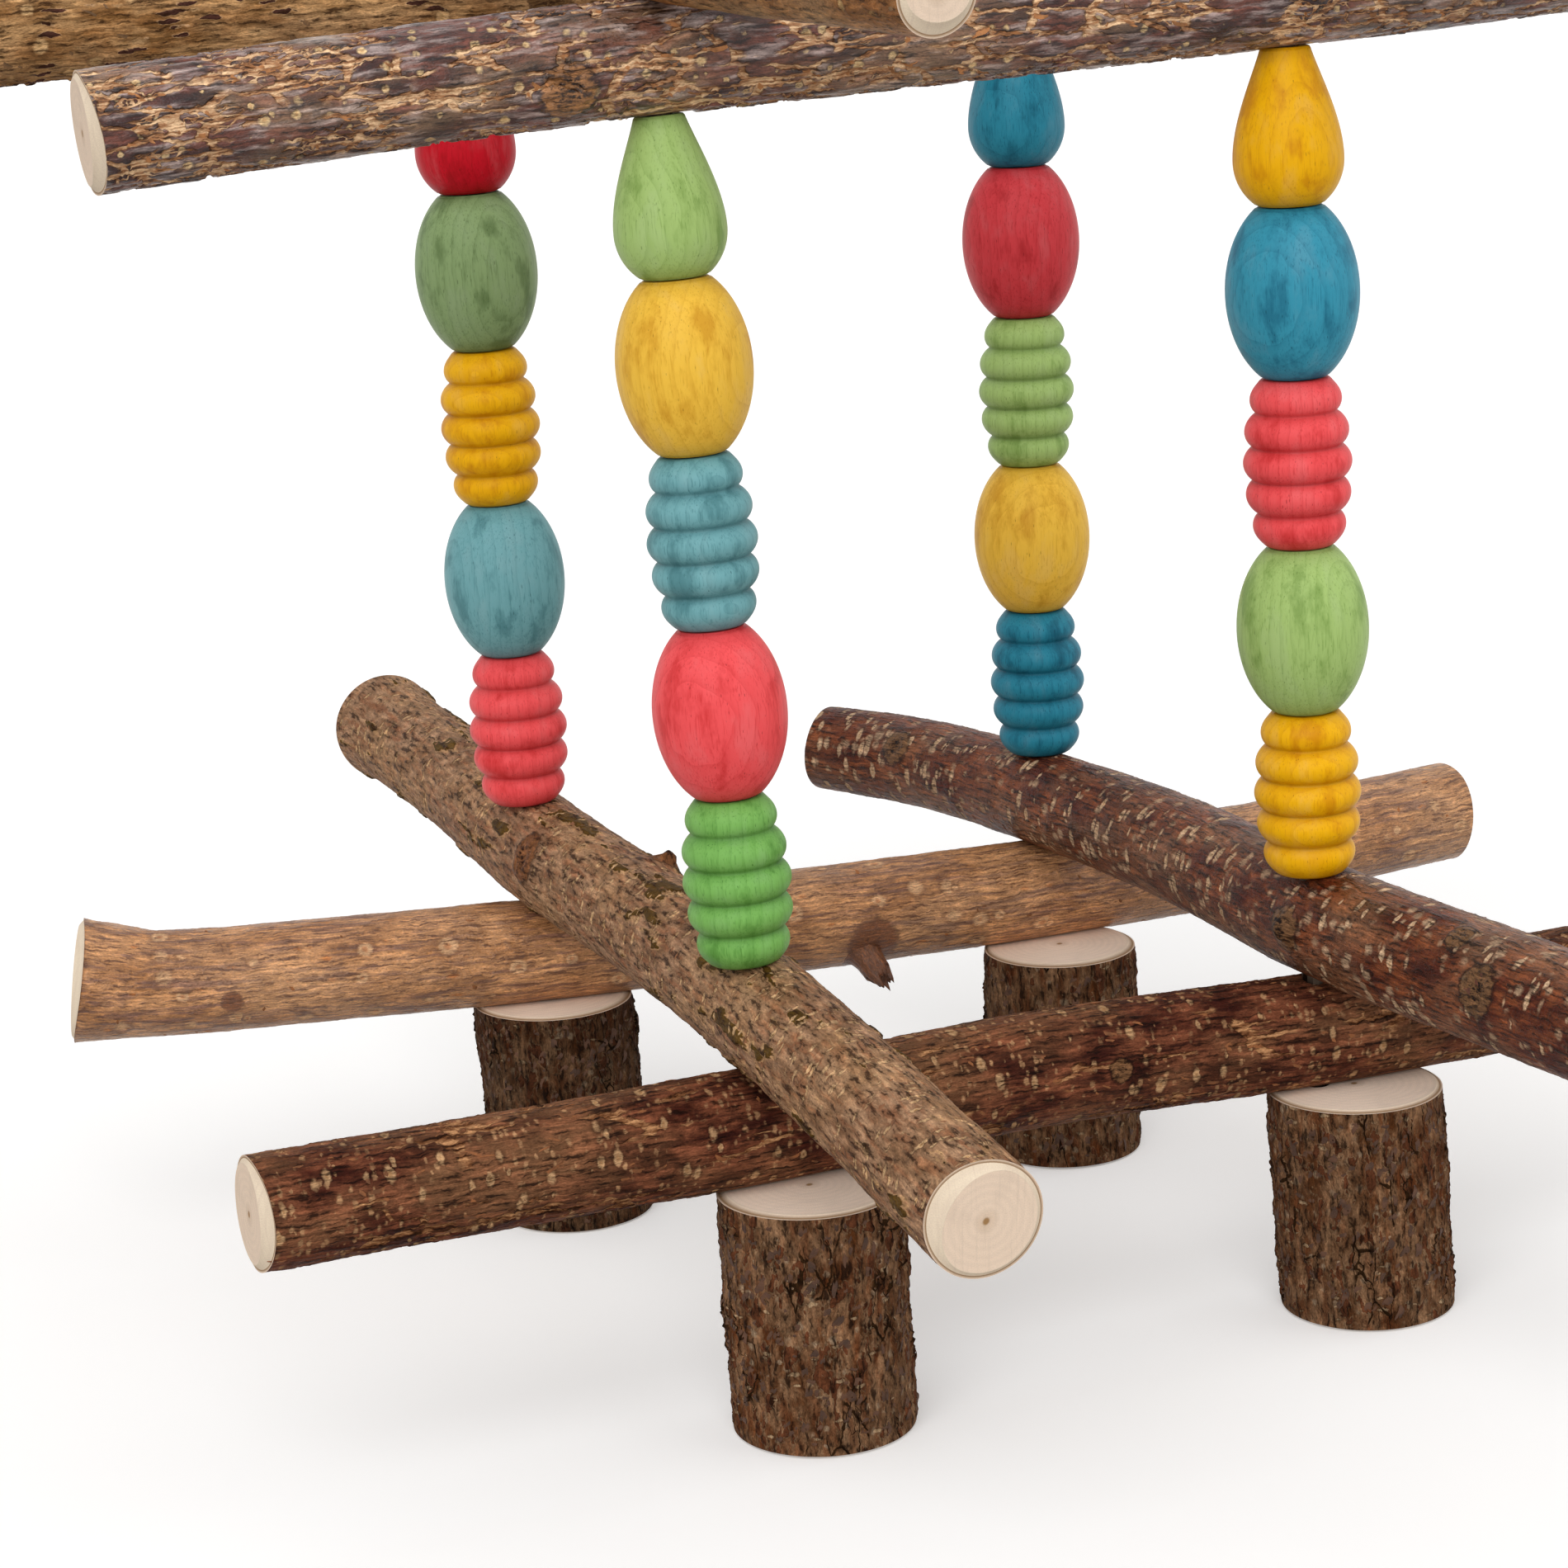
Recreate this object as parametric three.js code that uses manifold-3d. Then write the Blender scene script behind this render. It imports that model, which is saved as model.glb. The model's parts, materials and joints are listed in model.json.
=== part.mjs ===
// Parakeet climbing tower: two decks of bark-covered branches on log feet, held apart by
// four columns of turned wooden beads. A threaded rod runs up through each column, from a
// nut let into the foot to a cap nut on the upper deck. Millimetres, +Z up, left is -X,
// front is -Y.

import * as THREE from "three";
import { mergeVertices } from "three/addons/utils/BufferGeometryUtils.js";
import Module from "manifold-3d";

const wasm = await Module();
wasm.setup();

// Grid of the four columns
const COLUMN_SPACING_X = 131;
const COLUMN_SPACING_Y = 139.5;

// Fits
const SEAT_GAP = 0.3; // left between two pieces that touch
const SEAT_DEPTH = 0.6; // how far a round branch is let into what it lies on
const BORE_PLAY = 0.35; // radial room between a rod and the holes it passes

// Rods, nuts and washers
const ROD_RADIUS = 2.5;
const ROD_FOOT_CLEARANCE = 1.5; // from the surface the tower stands on up to the rod's lower end
const NUT_ACROSS_FLATS = 8;
const NUT_HEIGHT = 4;
const WASHER_RADIUS = 5;
const WASHER_THICKNESS = 1;
const RECESS_RADIUS = 5.6; // pocket in the foot that hides the lower nut
const RECESS_DEPTH = 9;
const CAP_NUT_HEIGHT = 8;
const CAP_NUT_FLATS_HEIGHT = 4.5;
const CAP_NUT_HOLE_DEPTH = 6;
const CAP_NUT_SEAT_DEPTH = 1.2; // flat cut in the top branch for the washer

// Beads: overall lengths and radii, and the flat ends that meet
const BEAD_END_RADIUS = 6.9;
const EGG_LENGTH = 35.6;
const EGG_RADIUS = 14;
const RIBBED_LENGTH = 35.6;
const RIB_RADII = [9.7, 11.0, 11.45, 10.9, 9.5]; // from the bottom rib to the top one
const RIB_GROOVE_DEPTH = 1.3; // below the lower of the two ribs beside it
const PEAR_LENGTH = 32.3;
const PEAR_RADIUS = 11.5;
const PEAR_TOP_RADIUS = 5.1;
const PEAR_WIDEST_SHARE = 0.285; // height of the widest place, as a share of the length
const BEAD_SEAT_MARGIN = 2.4; // room round a bead's end in the flat cut for it

// Log feet
const FOOT_RADIUS = 19;
const FOOT_HEIGHT = 54.5;

// How finely round things are drawn
const BEAD_SIDES = 12;
const BRANCH_SIDES = 12;
const BRANCH_STEPS = 16;
const FOOT_SIDES = 16;
const FOOT_STEPS = 2;
const HARDWARE_SIDES = 12;

const BEAD_COLOURS = {
  red: 0xc9324a,
  blue: 0x2b8fb5,
  sky: 0x66b4c8,
  yellow: 0xe3bb36,
  green: 0x6cbb68,
  sage: 0x79a583,
};

// Each column's corner of the grid, how far it stands off it, its lean per millimetre of
// height, the grade of its beads (1 is the nominal size), its bead colours from the bottom,
// and its foot: height, radius scale, and how far the foot's two ends are off the rod.
const COLUMNS = {
  front_left: {
    corner: [-1, -1],
    stray: [4.7, -3.2],
    lean: [-0.037, 0.032],
    grade: 0.982,
    colours: ["green", "red", "sky", "yellow", "green"],
    foot: { height: FOOT_HEIGHT, scale: 1.02, bottom: [6.0, -3.4], top: [4.0, -6.5] },
  },
  front_right: {
    corner: [1, -1],
    stray: [2.0, -0.2],
    lean: [-0.0125, 0.0],
    grade: 1.003,
    colours: ["yellow", "green", "red", "blue", "yellow"],
    foot: { height: FOOT_HEIGHT - 1.5, scale: 1.01, bottom: [11.0, -0.4], top: [6.4, -4.0] },
  },
  back_left: {
    corner: [-1, 1],
    stray: [0.3, 0.6],
    lean: [-0.021, 0.008],
    grade: 1.002,
    colours: ["red", "sky", "yellow", "sage", "red"],
    foot: { height: FOOT_HEIGHT + 1.5, scale: 1.0, bottom: [4.8, 4.4], top: [1.2, 0.6] },
  },
  back_right: {
    corner: [1, 1],
    stray: [-0.2, -2.1],
    lean: [0.002, 0.009],
    grade: 1.006,
    colours: ["blue", "yellow", "green", "red", "blue"],
    foot: { height: FOOT_HEIGHT - 1.5, scale: 0.98, bottom: [-1.8, -10.8], top: [-2.0, -11.5] },
  },
};

const BEAD_ORDER = ["ribbed", "egg", "ribbed", "egg", "pear"];

// Each branch passes the two columns named. Its stations run along it: the share of the way
// from the first column to the second, the reach past that place, the sway (along +Y on a
// branch that runs left to right, along +X on one that runs front to back), the rise above
// the straight line through its two seats, and the radius there.
const BRANCHES = {
  lower_back_rail: {
    deck: "lower",
    layer: "rail",
    columns: ["back_left", "back_right"],
    colour: 0x8a6f52,
    stations: [
      [0, -107, 20.5, 0.8, 14.8],
      [0, -96, 17, -1.0, 12.5],
      [0, -50, 8, -0.6, 12.2],
      [0, 0, 0, 0, 12.3],
      [0.5, 0, -2.5, 0, 12.5],
      [1, 0, -1, 0, 12.3],
      [1, 60, 4, 0.8, 12.6],
      [1, 122, 14, 2.5, 12.7],
    ],
    twig: { share: 0.59, side: -1, radius: 3.6, length: 8 },
  },
  lower_front_rail: {
    deck: "lower",
    layer: "rail",
    columns: ["front_left", "front_right"],
    colour: 0x5a4038,
    stations: [
      [0, -110, -3, 0, 11.8],
      [0, -60, -2, 0, 11.7],
      [0, 0, 0, 0, 12.3],
      [0.5, 0, 4, 0.8, 12.4],
      [1, 0, 2, 0, 12.4],
      [1, 60, 3, 0.6, 12.5],
      [1, 118, 5, 1.2, 12.4],
    ],
  },
  lower_left_cross_rail: {
    deck: "lower",
    layer: "cross",
    columns: ["front_left", "back_left"],
    colour: 0x77705a,
    stations: [
      [0, -110, 1.5, -7.8, 11.8],
      [0, -55, 2, -3, 11.8],
      [0, 0, 3, 0, 12.0],
      [0.5, 0, 4, 0.5, 12.4],
      [1, 0, 3, 0, 12.9],
      [1, 60, 4, 1.5, 12.4],
      [1, 110, 3, 2.5, 12.5],
      [1, 126, 2.5, 3, 13.9],
    ],
  },
  lower_right_cross_rail: {
    deck: "lower",
    layer: "cross",
    columns: ["front_right", "back_right"],
    colour: 0x69463b,
    stations: [
      [0, -148, 17, 0, 12.2],
      [0, -80, 12, 0, 12.4],
      [0, 0, 4, 0, 12.7],
      [0.5, 0, 5.5, 0, 12.4],
      [1, 0, -1, 0, 11.7],
      [1, 34, -7, 0, 11.5],
      [1, 58, -15, 0, 11.2],
      [1, 79, -26, 0, 10.9],
    ],
  },
  upper_back_rail: {
    deck: "upper",
    layer: "rail",
    columns: ["back_left", "back_right"],
    colour: 0x95794f,
    stations: [
      [0, -120, 3, -5, 11.4],
      [0, -60, 1, -2, 11.2],
      [0, 0, 0, 0, 11.4],
      [0.5, 0, -2, 0, 11.6],
      [1, 0, 0, 0, 11.5],
      [1, 60, 2, 0, 11.4],
      [1, 115, 5, 0, 11.3],
    ],
  },
  upper_front_rail: {
    deck: "upper",
    layer: "rail",
    columns: ["front_left", "front_right"],
    colour: 0x54382f,
    stations: [
      [0, -112, 0, -3, 11.8],
      [0, -55, 0, -1, 11.5],
      [0, 0, 0, 0, 11.7],
      [0.5, 0, 0, 0, 11.9],
      [1, 0, 0, 0, 12.1],
      [1, 60, 0, 1, 12.4],
      [1, 118, 2, 2, 12.3],
    ],
  },
  upper_left_cross_rail: {
    deck: "upper",
    layer: "cross",
    columns: ["front_left", "back_left"],
    colour: 0xa08a6e,
    stations: [
      [0, -125, 9, 2.4, 7.7],
      [0, -60, 3.5, 1, 7.9],
      [0, 0, 0, 0, 8.0],
      [0.5, 0, -2, 0, 8.1],
      [1, 0, 0, 0, 8.2],
      [1, 50, 2, 0, 8.2],
      [1, 95, 5, -1, 8.3],
    ],
  },
  upper_right_cross_rail: {
    deck: "upper",
    layer: "cross",
    columns: ["front_right", "back_right"],
    colour: 0x9b8467,
    stations: [
      [0, -105, -4, 1, 8.3],
      [0, -50, -1, 0, 8.1],
      [0, 0, 0, 0, 8.0],
      [0.5, 0, 2, 0, 8.0],
      [1, 0, 0, 0, 7.9],
      [1, 60, -3, 1, 7.8],
      [1, 115, -7, 2, 7.7],
    ],
  },
};

const UP = new THREE.Vector3(0, 0, 1);

// Joining and cutting

function solidOf(geometry) {
  const bare = geometry.clone();
  bare.deleteAttribute("normal");
  bare.deleteAttribute("uv");
  const merged = mergeVertices(bare, 1e-4);
  return new wasm.Manifold(new wasm.Mesh({
    numProp: 3,
    vertProperties: new Float32Array(merged.attributes.position.array),
    triVerts: new Uint32Array(merged.index.array),
  }));
}

function geometryOf(solid) {
  const mesh = solid.getMesh();
  const geometry = new THREE.BufferGeometry();
  geometry.setAttribute("position", new THREE.BufferAttribute(mesh.vertProperties, 3));
  geometry.setIndex(new THREE.BufferAttribute(mesh.triVerts, 1));
  geometry.computeVertexNormals();
  return geometry;
}

function cut(geometry, cutters) {
  let solid = solidOf(geometry);
  for (const cutter of cutters) {
    solid = solid.subtract(solidOf(cutter));
  }
  return geometryOf(solid);
}

// A closed profile of [radius, height] points turned about +Z
function turned(profile, sides) {
  const points = profile.map(([radius, height]) => new THREE.Vector2(radius, height));
  const geometry = new THREE.LatheGeometry(points, sides);
  geometry.rotateX(Math.PI / 2);
  return geometry;
}

function ring(innerRadius, outerRadius, bottom, top, sides) {
  return turned([
    [innerRadius, bottom],
    [outerRadius, bottom],
    [outerRadius, top],
    [innerRadius, top],
    [innerRadius, bottom],
  ], sides);
}

function drum(radius, bottom, top, sides) {
  return turned([[0, bottom], [radius, bottom], [radius, top], [0, top]], sides);
}

// Columns: the rod's line, and the places along it

const BORE_RADIUS = (ROD_RADIUS + BORE_PLAY) / Math.cos(Math.PI / HARDWARE_SIDES);

function makeColumn(spec) {
  const base = new THREE.Vector3(
    spec.corner[0] * COLUMN_SPACING_X / 2 + spec.stray[0],
    spec.corner[1] * COLUMN_SPACING_Y / 2 + spec.stray[1],
    0,
  );
  const direction = new THREE.Vector3(spec.lean[0], spec.lean[1], 1).normalize();
  const turn = new THREE.Quaternion().setFromUnitVectors(UP, direction);
  return { spec, base, direction, turn, upright: direction.z };
}

const columns = {};
for (const [name, spec] of Object.entries(COLUMNS)) {
  columns[name] = makeColumn(spec);
}

function rodPoint(column, height) {
  return column.base.clone().addScaledVector(column.direction, height / column.upright);
}

// Puts a shape drawn along +Z from the origin onto the rod, with its zero at a height
function onRod(geometry, column, height) {
  const placed = geometry.clone();
  placed.applyQuaternion(column.turn);
  const at = rodPoint(column, height);
  placed.translate(at.x, at.y, at.z);
  return placed;
}

// Branches

function lerp(a, b, share) {
  return a + (b - a) * share;
}

function radiusAtColumn(deck, layer, columnName) {
  const passing = (spec) => spec.deck === deck && spec.layer === layer && spec.columns.includes(columnName);
  const spec = Object.values(BRANCHES).find(passing);
  const share = spec.columns.indexOf(columnName);
  return spec.stations.find((station) => station[0] === share && station[1] === 0)[4];
}

// seats holds the heights of the branch's middle line at its two columns
function makeBranch(spec, seats) {
  const ends = spec.columns.map((name, index) => rodPoint(columns[name], seats[index]));
  const along = ends[1].clone().sub(ends[0]).setZ(0);
  const span = along.length();
  along.normalize();
  const leftToRight = Math.abs(along.x) > Math.abs(along.y);
  const sideways = leftToRight ? new THREE.Vector3(0, 1, 0) : new THREE.Vector3(1, 0, 0);
  const points = spec.stations.map(([share, reach, sway, rise]) => {
    const distance = share * span + reach;
    const point = ends[0].clone().addScaledVector(along, distance).addScaledVector(sideways, sway);
    point.z = lerp(seats[0], seats[1], distance / span) + rise;
    return point;
  });
  const curve = new THREE.CatmullRomCurve3(points, false, "centripetal");
  const radii = spec.stations.map((station) => station[4]);
  return { spec, curve, radii, seats };
}

function radiusOn(branch, share) {
  const place = share * (branch.radii.length - 1);
  const index = Math.min(Math.floor(place), branch.radii.length - 2);
  return lerp(branch.radii[index], branch.radii[index + 1], place - index);
}

// A cylinder whose rings are moved onto the branch, with its radius grown by the amount given
function branchGeometry(branch, growth) {
  const geometry = new THREE.CylinderGeometry(1, 1, 1, BRANCH_SIDES, BRANCH_STEPS);
  const position = geometry.attributes.position;
  for (let i = 0; i < position.count; i += 1) {
    const share = Math.min(Math.max(position.getY(i) + 0.5, 0), 1);
    const centre = branch.curve.getPoint(share);
    const tangent = branch.curve.getTangent(share);
    const above = UP.clone().addScaledVector(tangent, -UP.dot(tangent)).normalize();
    const beside = above.clone().cross(tangent);
    const radius = radiusOn(branch, share) + growth;
    centre.addScaledVector(above, position.getX(i) * radius);
    centre.addScaledVector(beside, position.getZ(i) * radius);
    position.setXYZ(i, centre.x, centre.y, centre.z);
  }
  return geometry;
}

// The stump of a side twig, slanting down out of the branch's flank
function twigGeometry(branch) {
  const { share, side, radius, length } = branch.spec.twig;
  const root = branch.curve.getPoint(share);
  const slant = new THREE.Vector3(0.25, side * 0.8, -0.7).normalize();
  const reach = radiusOn(branch, share) + length;
  const geometry = turned([[0, 0], [radius * 1.5, 0], [radius, reach], [0, reach]], BRANCH_SIDES);
  geometry.applyQuaternion(new THREE.Quaternion().setFromUnitVectors(UP, slant));
  geometry.translate(root.x, root.y, root.z);
  return geometry;
}

// Log feet: a short branch stood on end, both cuts level, its middle line leaning a little
function footGeometry(column, growth) {
  const { height, scale, bottom, top } = column.spec.foot;
  const geometry = new THREE.CylinderGeometry(1, 1, 1, FOOT_SIDES, FOOT_STEPS);
  const position = geometry.attributes.position;
  const radius = FOOT_RADIUS * scale + growth;
  for (let i = 0; i < position.count; i += 1) {
    const share = position.getY(i) + 0.5;
    const x = column.base.x + lerp(bottom[0], top[0], share) + position.getX(i) * radius;
    const y = column.base.y + lerp(bottom[1], top[1], share) - position.getZ(i) * radius;
    position.setXYZ(i, x, y, share * (height + growth));
  }
  return geometry;
}

// Beads, each drawn with its lower end at zero and a hole right through

function eggProfile() {
  const half = EGG_LENGTH / 2;
  const semiAxis = half / Math.sqrt(1 - (BEAD_END_RADIUS / EGG_RADIUS) ** 2);
  const steps = 10;
  const lowest = Math.asin(half / semiAxis);
  const points = [];
  for (let i = 0; i <= steps; i += 1) {
    const angle = lerp(-lowest, lowest, i / steps);
    points.push([EGG_RADIUS * Math.cos(angle), half + semiAxis * Math.sin(angle)]);
  }
  return points;
}

function grooveRadius(rib) {
  return Math.min(RIB_RADII[rib], RIB_RADII[rib + 1]) - RIB_GROOVE_DEPTH;
}

function ribbedProfile() {
  const pitch = RIBBED_LENGTH / RIB_RADII.length;
  const arcSteps = 4;
  const points = [[BEAD_END_RADIUS, 0]];
  RIB_RADII.forEach((radius, rib) => {
    const before = rib === 0 ? BEAD_END_RADIUS : grooveRadius(rib - 1);
    const after = rib === RIB_RADII.length - 1 ? BEAD_END_RADIUS : grooveRadius(rib);
    for (let i = 1; i <= arcSteps; i += 1) {
      const angle = Math.PI * i / arcSteps;
      const root = i * 2 < arcSteps ? before : after;
      const height = (rib + (1 - Math.cos(angle)) / 2) * pitch;
      points.push([lerp(root, radius, Math.sin(angle)), height]);
    }
  });
  return points;
}

function pearProfile() {
  const widest = PEAR_LENGTH * PEAR_WIDEST_SHARE;
  const shareOfRadius = (PEAR_RADIUS ** 2 - BEAD_END_RADIUS ** 2) ** 0.5 / PEAR_RADIUS;
  const lowest = Math.asin(shareOfRadius);
  const points = [];
  for (let i = 0; i < 4; i += 1) {
    const angle = lerp(-lowest, 0, i / 4);
    points.push([PEAR_RADIUS * Math.cos(angle), widest * (1 + Math.sin(angle) / shareOfRadius)]);
  }
  const shoulder = new THREE.CubicBezierCurve(
    new THREE.Vector2(PEAR_RADIUS, widest),
    new THREE.Vector2(PEAR_RADIUS, lerp(widest, PEAR_LENGTH, 0.36)),
    new THREE.Vector2(lerp(PEAR_TOP_RADIUS, PEAR_RADIUS, 0.22), lerp(widest, PEAR_LENGTH, 0.78)),
    new THREE.Vector2(PEAR_TOP_RADIUS, PEAR_LENGTH),
  );
  shoulder.getPoints(6).forEach((point) => points.push([point.x, point.y]));
  return points;
}

const BEADS = {
  egg: { profile: eggProfile(), length: EGG_LENGTH },
  ribbed: { profile: ribbedProfile(), length: RIBBED_LENGTH },
  pear: { profile: pearProfile(), length: PEAR_LENGTH },
};

function beadGeometry(kind, grade) {
  const scaled = BEADS[kind].profile.map(([radius, height]) => [radius * grade, height * grade]);
  const length = BEADS[kind].length * grade;
  const closed = [[BORE_RADIUS, 0], ...scaled, [BORE_RADIUS, length], [BORE_RADIUS, 0]];
  return turned(closed, BEAD_SIDES);
}

// Heights, worked up from the feet

function seatOn(topOfLower, radius) {
  return topOfLower - SEAT_DEPTH + radius;
}

function levelsOf(name, column) {
  const lowerRailRadius = radiusAtColumn("lower", "rail", name);
  const lowerCrossRadius = radiusAtColumn("lower", "cross", name);
  const upperRailRadius = radiusAtColumn("upper", "rail", name);
  const upperCrossRadius = radiusAtColumn("upper", "cross", name);
  const lower_rail = seatOn(column.spec.foot.height, lowerRailRadius);
  const lower_cross = seatOn(lower_rail + lowerRailRadius, lowerCrossRadius);
  const beadSeat = lower_cross + lowerCrossRadius - SEAT_DEPTH;
  let top = beadSeat;
  const beads = BEAD_ORDER.map((kind) => {
    const bottom = top + SEAT_GAP * column.upright;
    top = bottom + BEADS[kind].length * column.spec.grade * column.upright;
    return bottom;
  });
  const railSeat = top + SEAT_GAP * column.upright;
  const upper_rail = seatOn(railSeat, upperRailRadius);
  const upper_cross = seatOn(upper_rail + upperRailRadius, upperCrossRadius);
  const nutSeat = upper_cross + upperCrossRadius - CAP_NUT_SEAT_DEPTH;
  return { lower_rail, lower_cross, beadSeat, beads, railSeat, upper_rail, upper_cross, nutSeat };
}

const levels = {};
for (const [name, column] of Object.entries(columns)) {
  levels[name] = levelsOf(name, column);
}

// Assembly

const tower = new THREE.Group();

function addPiece(name, geometry, { colour, roughness, metalness }) {
  const material = new THREE.MeshStandardMaterial({ color: colour, roughness, metalness });
  material.name = name;
  const mesh = new THREE.Mesh(geometry, material);
  mesh.name = name;
  tower.add(mesh);
  return mesh;
}

function addOnRod(name, geometry, column, height, finish) {
  const mesh = addPiece(name, geometry, finish);
  mesh.quaternion.copy(column.turn);
  mesh.position.copy(rodPoint(column, height));
  return mesh;
}

const branches = {};
for (const [name, spec] of Object.entries(BRANCHES)) {
  const level = spec.deck + "_" + spec.layer;
  branches[name] = makeBranch(spec, spec.columns.map((column) => levels[column][level]));
}

// The rod's hole, drilled past both ends of whatever is on the rod
const BORE_REACH = 3 * COLUMN_SPACING_Y;
const LONG_BORE = drum(BORE_RADIUS, -BORE_REACH, BORE_REACH, HARDWARE_SIDES);

// What one column cuts out of a branch: the rod's hole, and a seat for the piece above or below
function columnCutters(spec, name) {
  const column = columns[name];
  const level = levels[name];
  const bore = onRod(LONG_BORE, column, 0);
  const reach = 2 * BEAD_SEAT_MARGIN;
  if (spec.deck === "lower" && spec.layer === "rail") {
    return [bore, footGeometry(column, SEAT_GAP)];
  }
  if (spec.deck === "lower") {
    const seat = drum(BEAD_END_RADIUS + BEAD_SEAT_MARGIN, 0, reach, BRANCH_SIDES);
    return [bore, onRod(seat, column, level.beadSeat)];
  }
  if (spec.layer === "rail") {
    const seat = drum(PEAR_TOP_RADIUS + BEAD_SEAT_MARGIN, -reach, 0, BRANCH_SIDES);
    return [bore, onRod(seat, column, level.railSeat)];
  }
  const seat = drum(WASHER_RADIUS + 2 * SEAT_GAP, 0, CAP_NUT_HEIGHT, HARDWARE_SIDES);
  return [bore, onRod(seat, column, level.nutSeat)];
}

function cuttersFor(spec) {
  const cutters = spec.columns.flatMap((name) => columnCutters(spec, name));
  if (spec.layer === "cross") {
    cutters.push(branchGeometry(branches[spec.deck + "_front_rail"], SEAT_GAP));
    cutters.push(branchGeometry(branches[spec.deck + "_back_rail"], SEAT_GAP));
  }
  return cutters;
}

for (const [name, branch] of Object.entries(branches)) {
  let geometry = branchGeometry(branch, 0);
  if (branch.spec.twig) {
    geometry = geometryOf(solidOf(geometry).add(solidOf(twigGeometry(branch))));
  }
  const finish = { colour: branch.spec.colour, roughness: 0.85, metalness: 0 };
  addPiece(name, cut(geometry, cuttersFor(branch.spec)), finish);
}

const hexRadius = NUT_ACROSS_FLATS / 2 / Math.cos(Math.PI / 6);
const washerGeometry = ring(BORE_RADIUS, WASHER_RADIUS, 0, WASHER_THICKNESS, HARDWARE_SIDES);
const nutGeometry = ring(BORE_RADIUS, hexRadius, 0, NUT_HEIGHT, 6);

function capNutGeometry() {
  const dome = turned([
    [0, 0],
    [hexRadius, 0],
    [hexRadius, CAP_NUT_FLATS_HEIGHT],
    [hexRadius * 0.82, lerp(CAP_NUT_FLATS_HEIGHT, CAP_NUT_HEIGHT, 0.45)],
    [hexRadius * 0.48, lerp(CAP_NUT_FLATS_HEIGHT, CAP_NUT_HEIGHT, 0.88)],
    [0, CAP_NUT_HEIGHT],
  ], 6);
  return cut(dome, [drum(BORE_RADIUS, -1, CAP_NUT_HOLE_DEPTH, HARDWARE_SIDES)]);
}

const STEEL = { colour: 0xb9bcc0, roughness: 0.35, metalness: 0.9 };

for (const [name, column] of Object.entries(columns)) {
  const level = levels[name];
  const recess = onRod(drum(RECESS_RADIUS, -RECESS_DEPTH, RECESS_DEPTH, FOOT_SIDES), column, 0);
  const foot = cut(footGeometry(column, 0), [recess, onRod(LONG_BORE, column, 0)]);
  addPiece("foot_" + name, foot, { colour: 0x54433a, roughness: 0.9, metalness: 0 });

  BEAD_ORDER.forEach((kind, index) => {
    const finish = { colour: BEAD_COLOURS[column.spec.colours[index]], roughness: 0.45, metalness: 0 };
    const bead = beadGeometry(kind, column.spec.grade);
    addOnRod(`bead_${name}_${index + 1}_${kind}`, bead, column, level.beads[index], finish);
  });

  const upright = column.upright;
  const lowerWasher = (RECESS_DEPTH - SEAT_GAP - WASHER_THICKNESS) * upright;
  const lowerNut = lowerWasher - (SEAT_GAP + NUT_HEIGHT) * upright;
  addOnRod("lower_washer_" + name, washerGeometry, column, lowerWasher, STEEL);
  addOnRod("lower_nut_" + name, nutGeometry, column, lowerNut, STEEL);

  const topWasher = level.nutSeat + SEAT_GAP * upright;
  const capNut = topWasher + (WASHER_THICKNESS + SEAT_GAP) * upright;
  addOnRod("top_washer_" + name, washerGeometry, column, topWasher, STEEL);
  addOnRod("cap_nut_" + name, capNutGeometry(), column, capNut, STEEL);

  const rodLength = (capNut - ROD_FOOT_CLEARANCE) / upright + CAP_NUT_HOLE_DEPTH - SEAT_GAP;
  const rod = drum(ROD_RADIUS, 0, rodLength, HARDWARE_SIDES);
  addOnRod("rod_" + name, rod, column, ROD_FOOT_CLEARANCE, STEEL);
}

// The origin is the middle of the tower's box, on the surface that it stands on
const bounds = new THREE.Box3().setFromObject(tower, true);
tower.position.x = -(bounds.min.x + bounds.max.x) / 2;
tower.position.y = -(bounds.min.y + bounds.max.y) / 2;

export default tower;
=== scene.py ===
"""Dresses the climbing tower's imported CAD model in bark, sawn wood, dyed beads and steel.

Laid out as an add-on and run as a script. Lengths are metres unless a name or a comment says
millimetres. Left is -X, front is -Y, up is +Z.
"""

import json
import math

import bpy
import numpy as np
from mathutils import Matrix, Vector


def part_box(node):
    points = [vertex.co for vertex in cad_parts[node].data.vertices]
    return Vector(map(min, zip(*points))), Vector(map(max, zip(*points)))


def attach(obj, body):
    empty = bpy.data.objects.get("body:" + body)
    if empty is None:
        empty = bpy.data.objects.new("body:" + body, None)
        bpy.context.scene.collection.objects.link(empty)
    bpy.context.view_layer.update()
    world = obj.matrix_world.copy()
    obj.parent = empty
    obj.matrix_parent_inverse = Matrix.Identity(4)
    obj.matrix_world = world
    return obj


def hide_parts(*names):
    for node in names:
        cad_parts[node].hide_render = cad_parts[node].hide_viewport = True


bl_info = {
    "name": "Parakeet climbing tower",
    "version": (1, 0, 0),
    "blender": (4, 5, 0),
    "location": "3D View > Sidebar > Tower",
    "description": "Builds the looks of the climbing tower around its CAD frame",
    "category": "Object",
}

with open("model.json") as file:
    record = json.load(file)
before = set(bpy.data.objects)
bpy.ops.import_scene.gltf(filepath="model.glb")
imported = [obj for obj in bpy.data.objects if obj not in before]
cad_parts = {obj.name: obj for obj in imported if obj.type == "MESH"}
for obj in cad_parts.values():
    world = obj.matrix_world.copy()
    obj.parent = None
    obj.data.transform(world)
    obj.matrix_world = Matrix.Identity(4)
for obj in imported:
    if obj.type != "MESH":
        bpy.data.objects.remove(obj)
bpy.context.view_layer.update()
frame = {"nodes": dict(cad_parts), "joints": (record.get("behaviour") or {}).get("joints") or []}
JOINTS = {joint["name"]: joint for joint in frame["joints"]}

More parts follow.
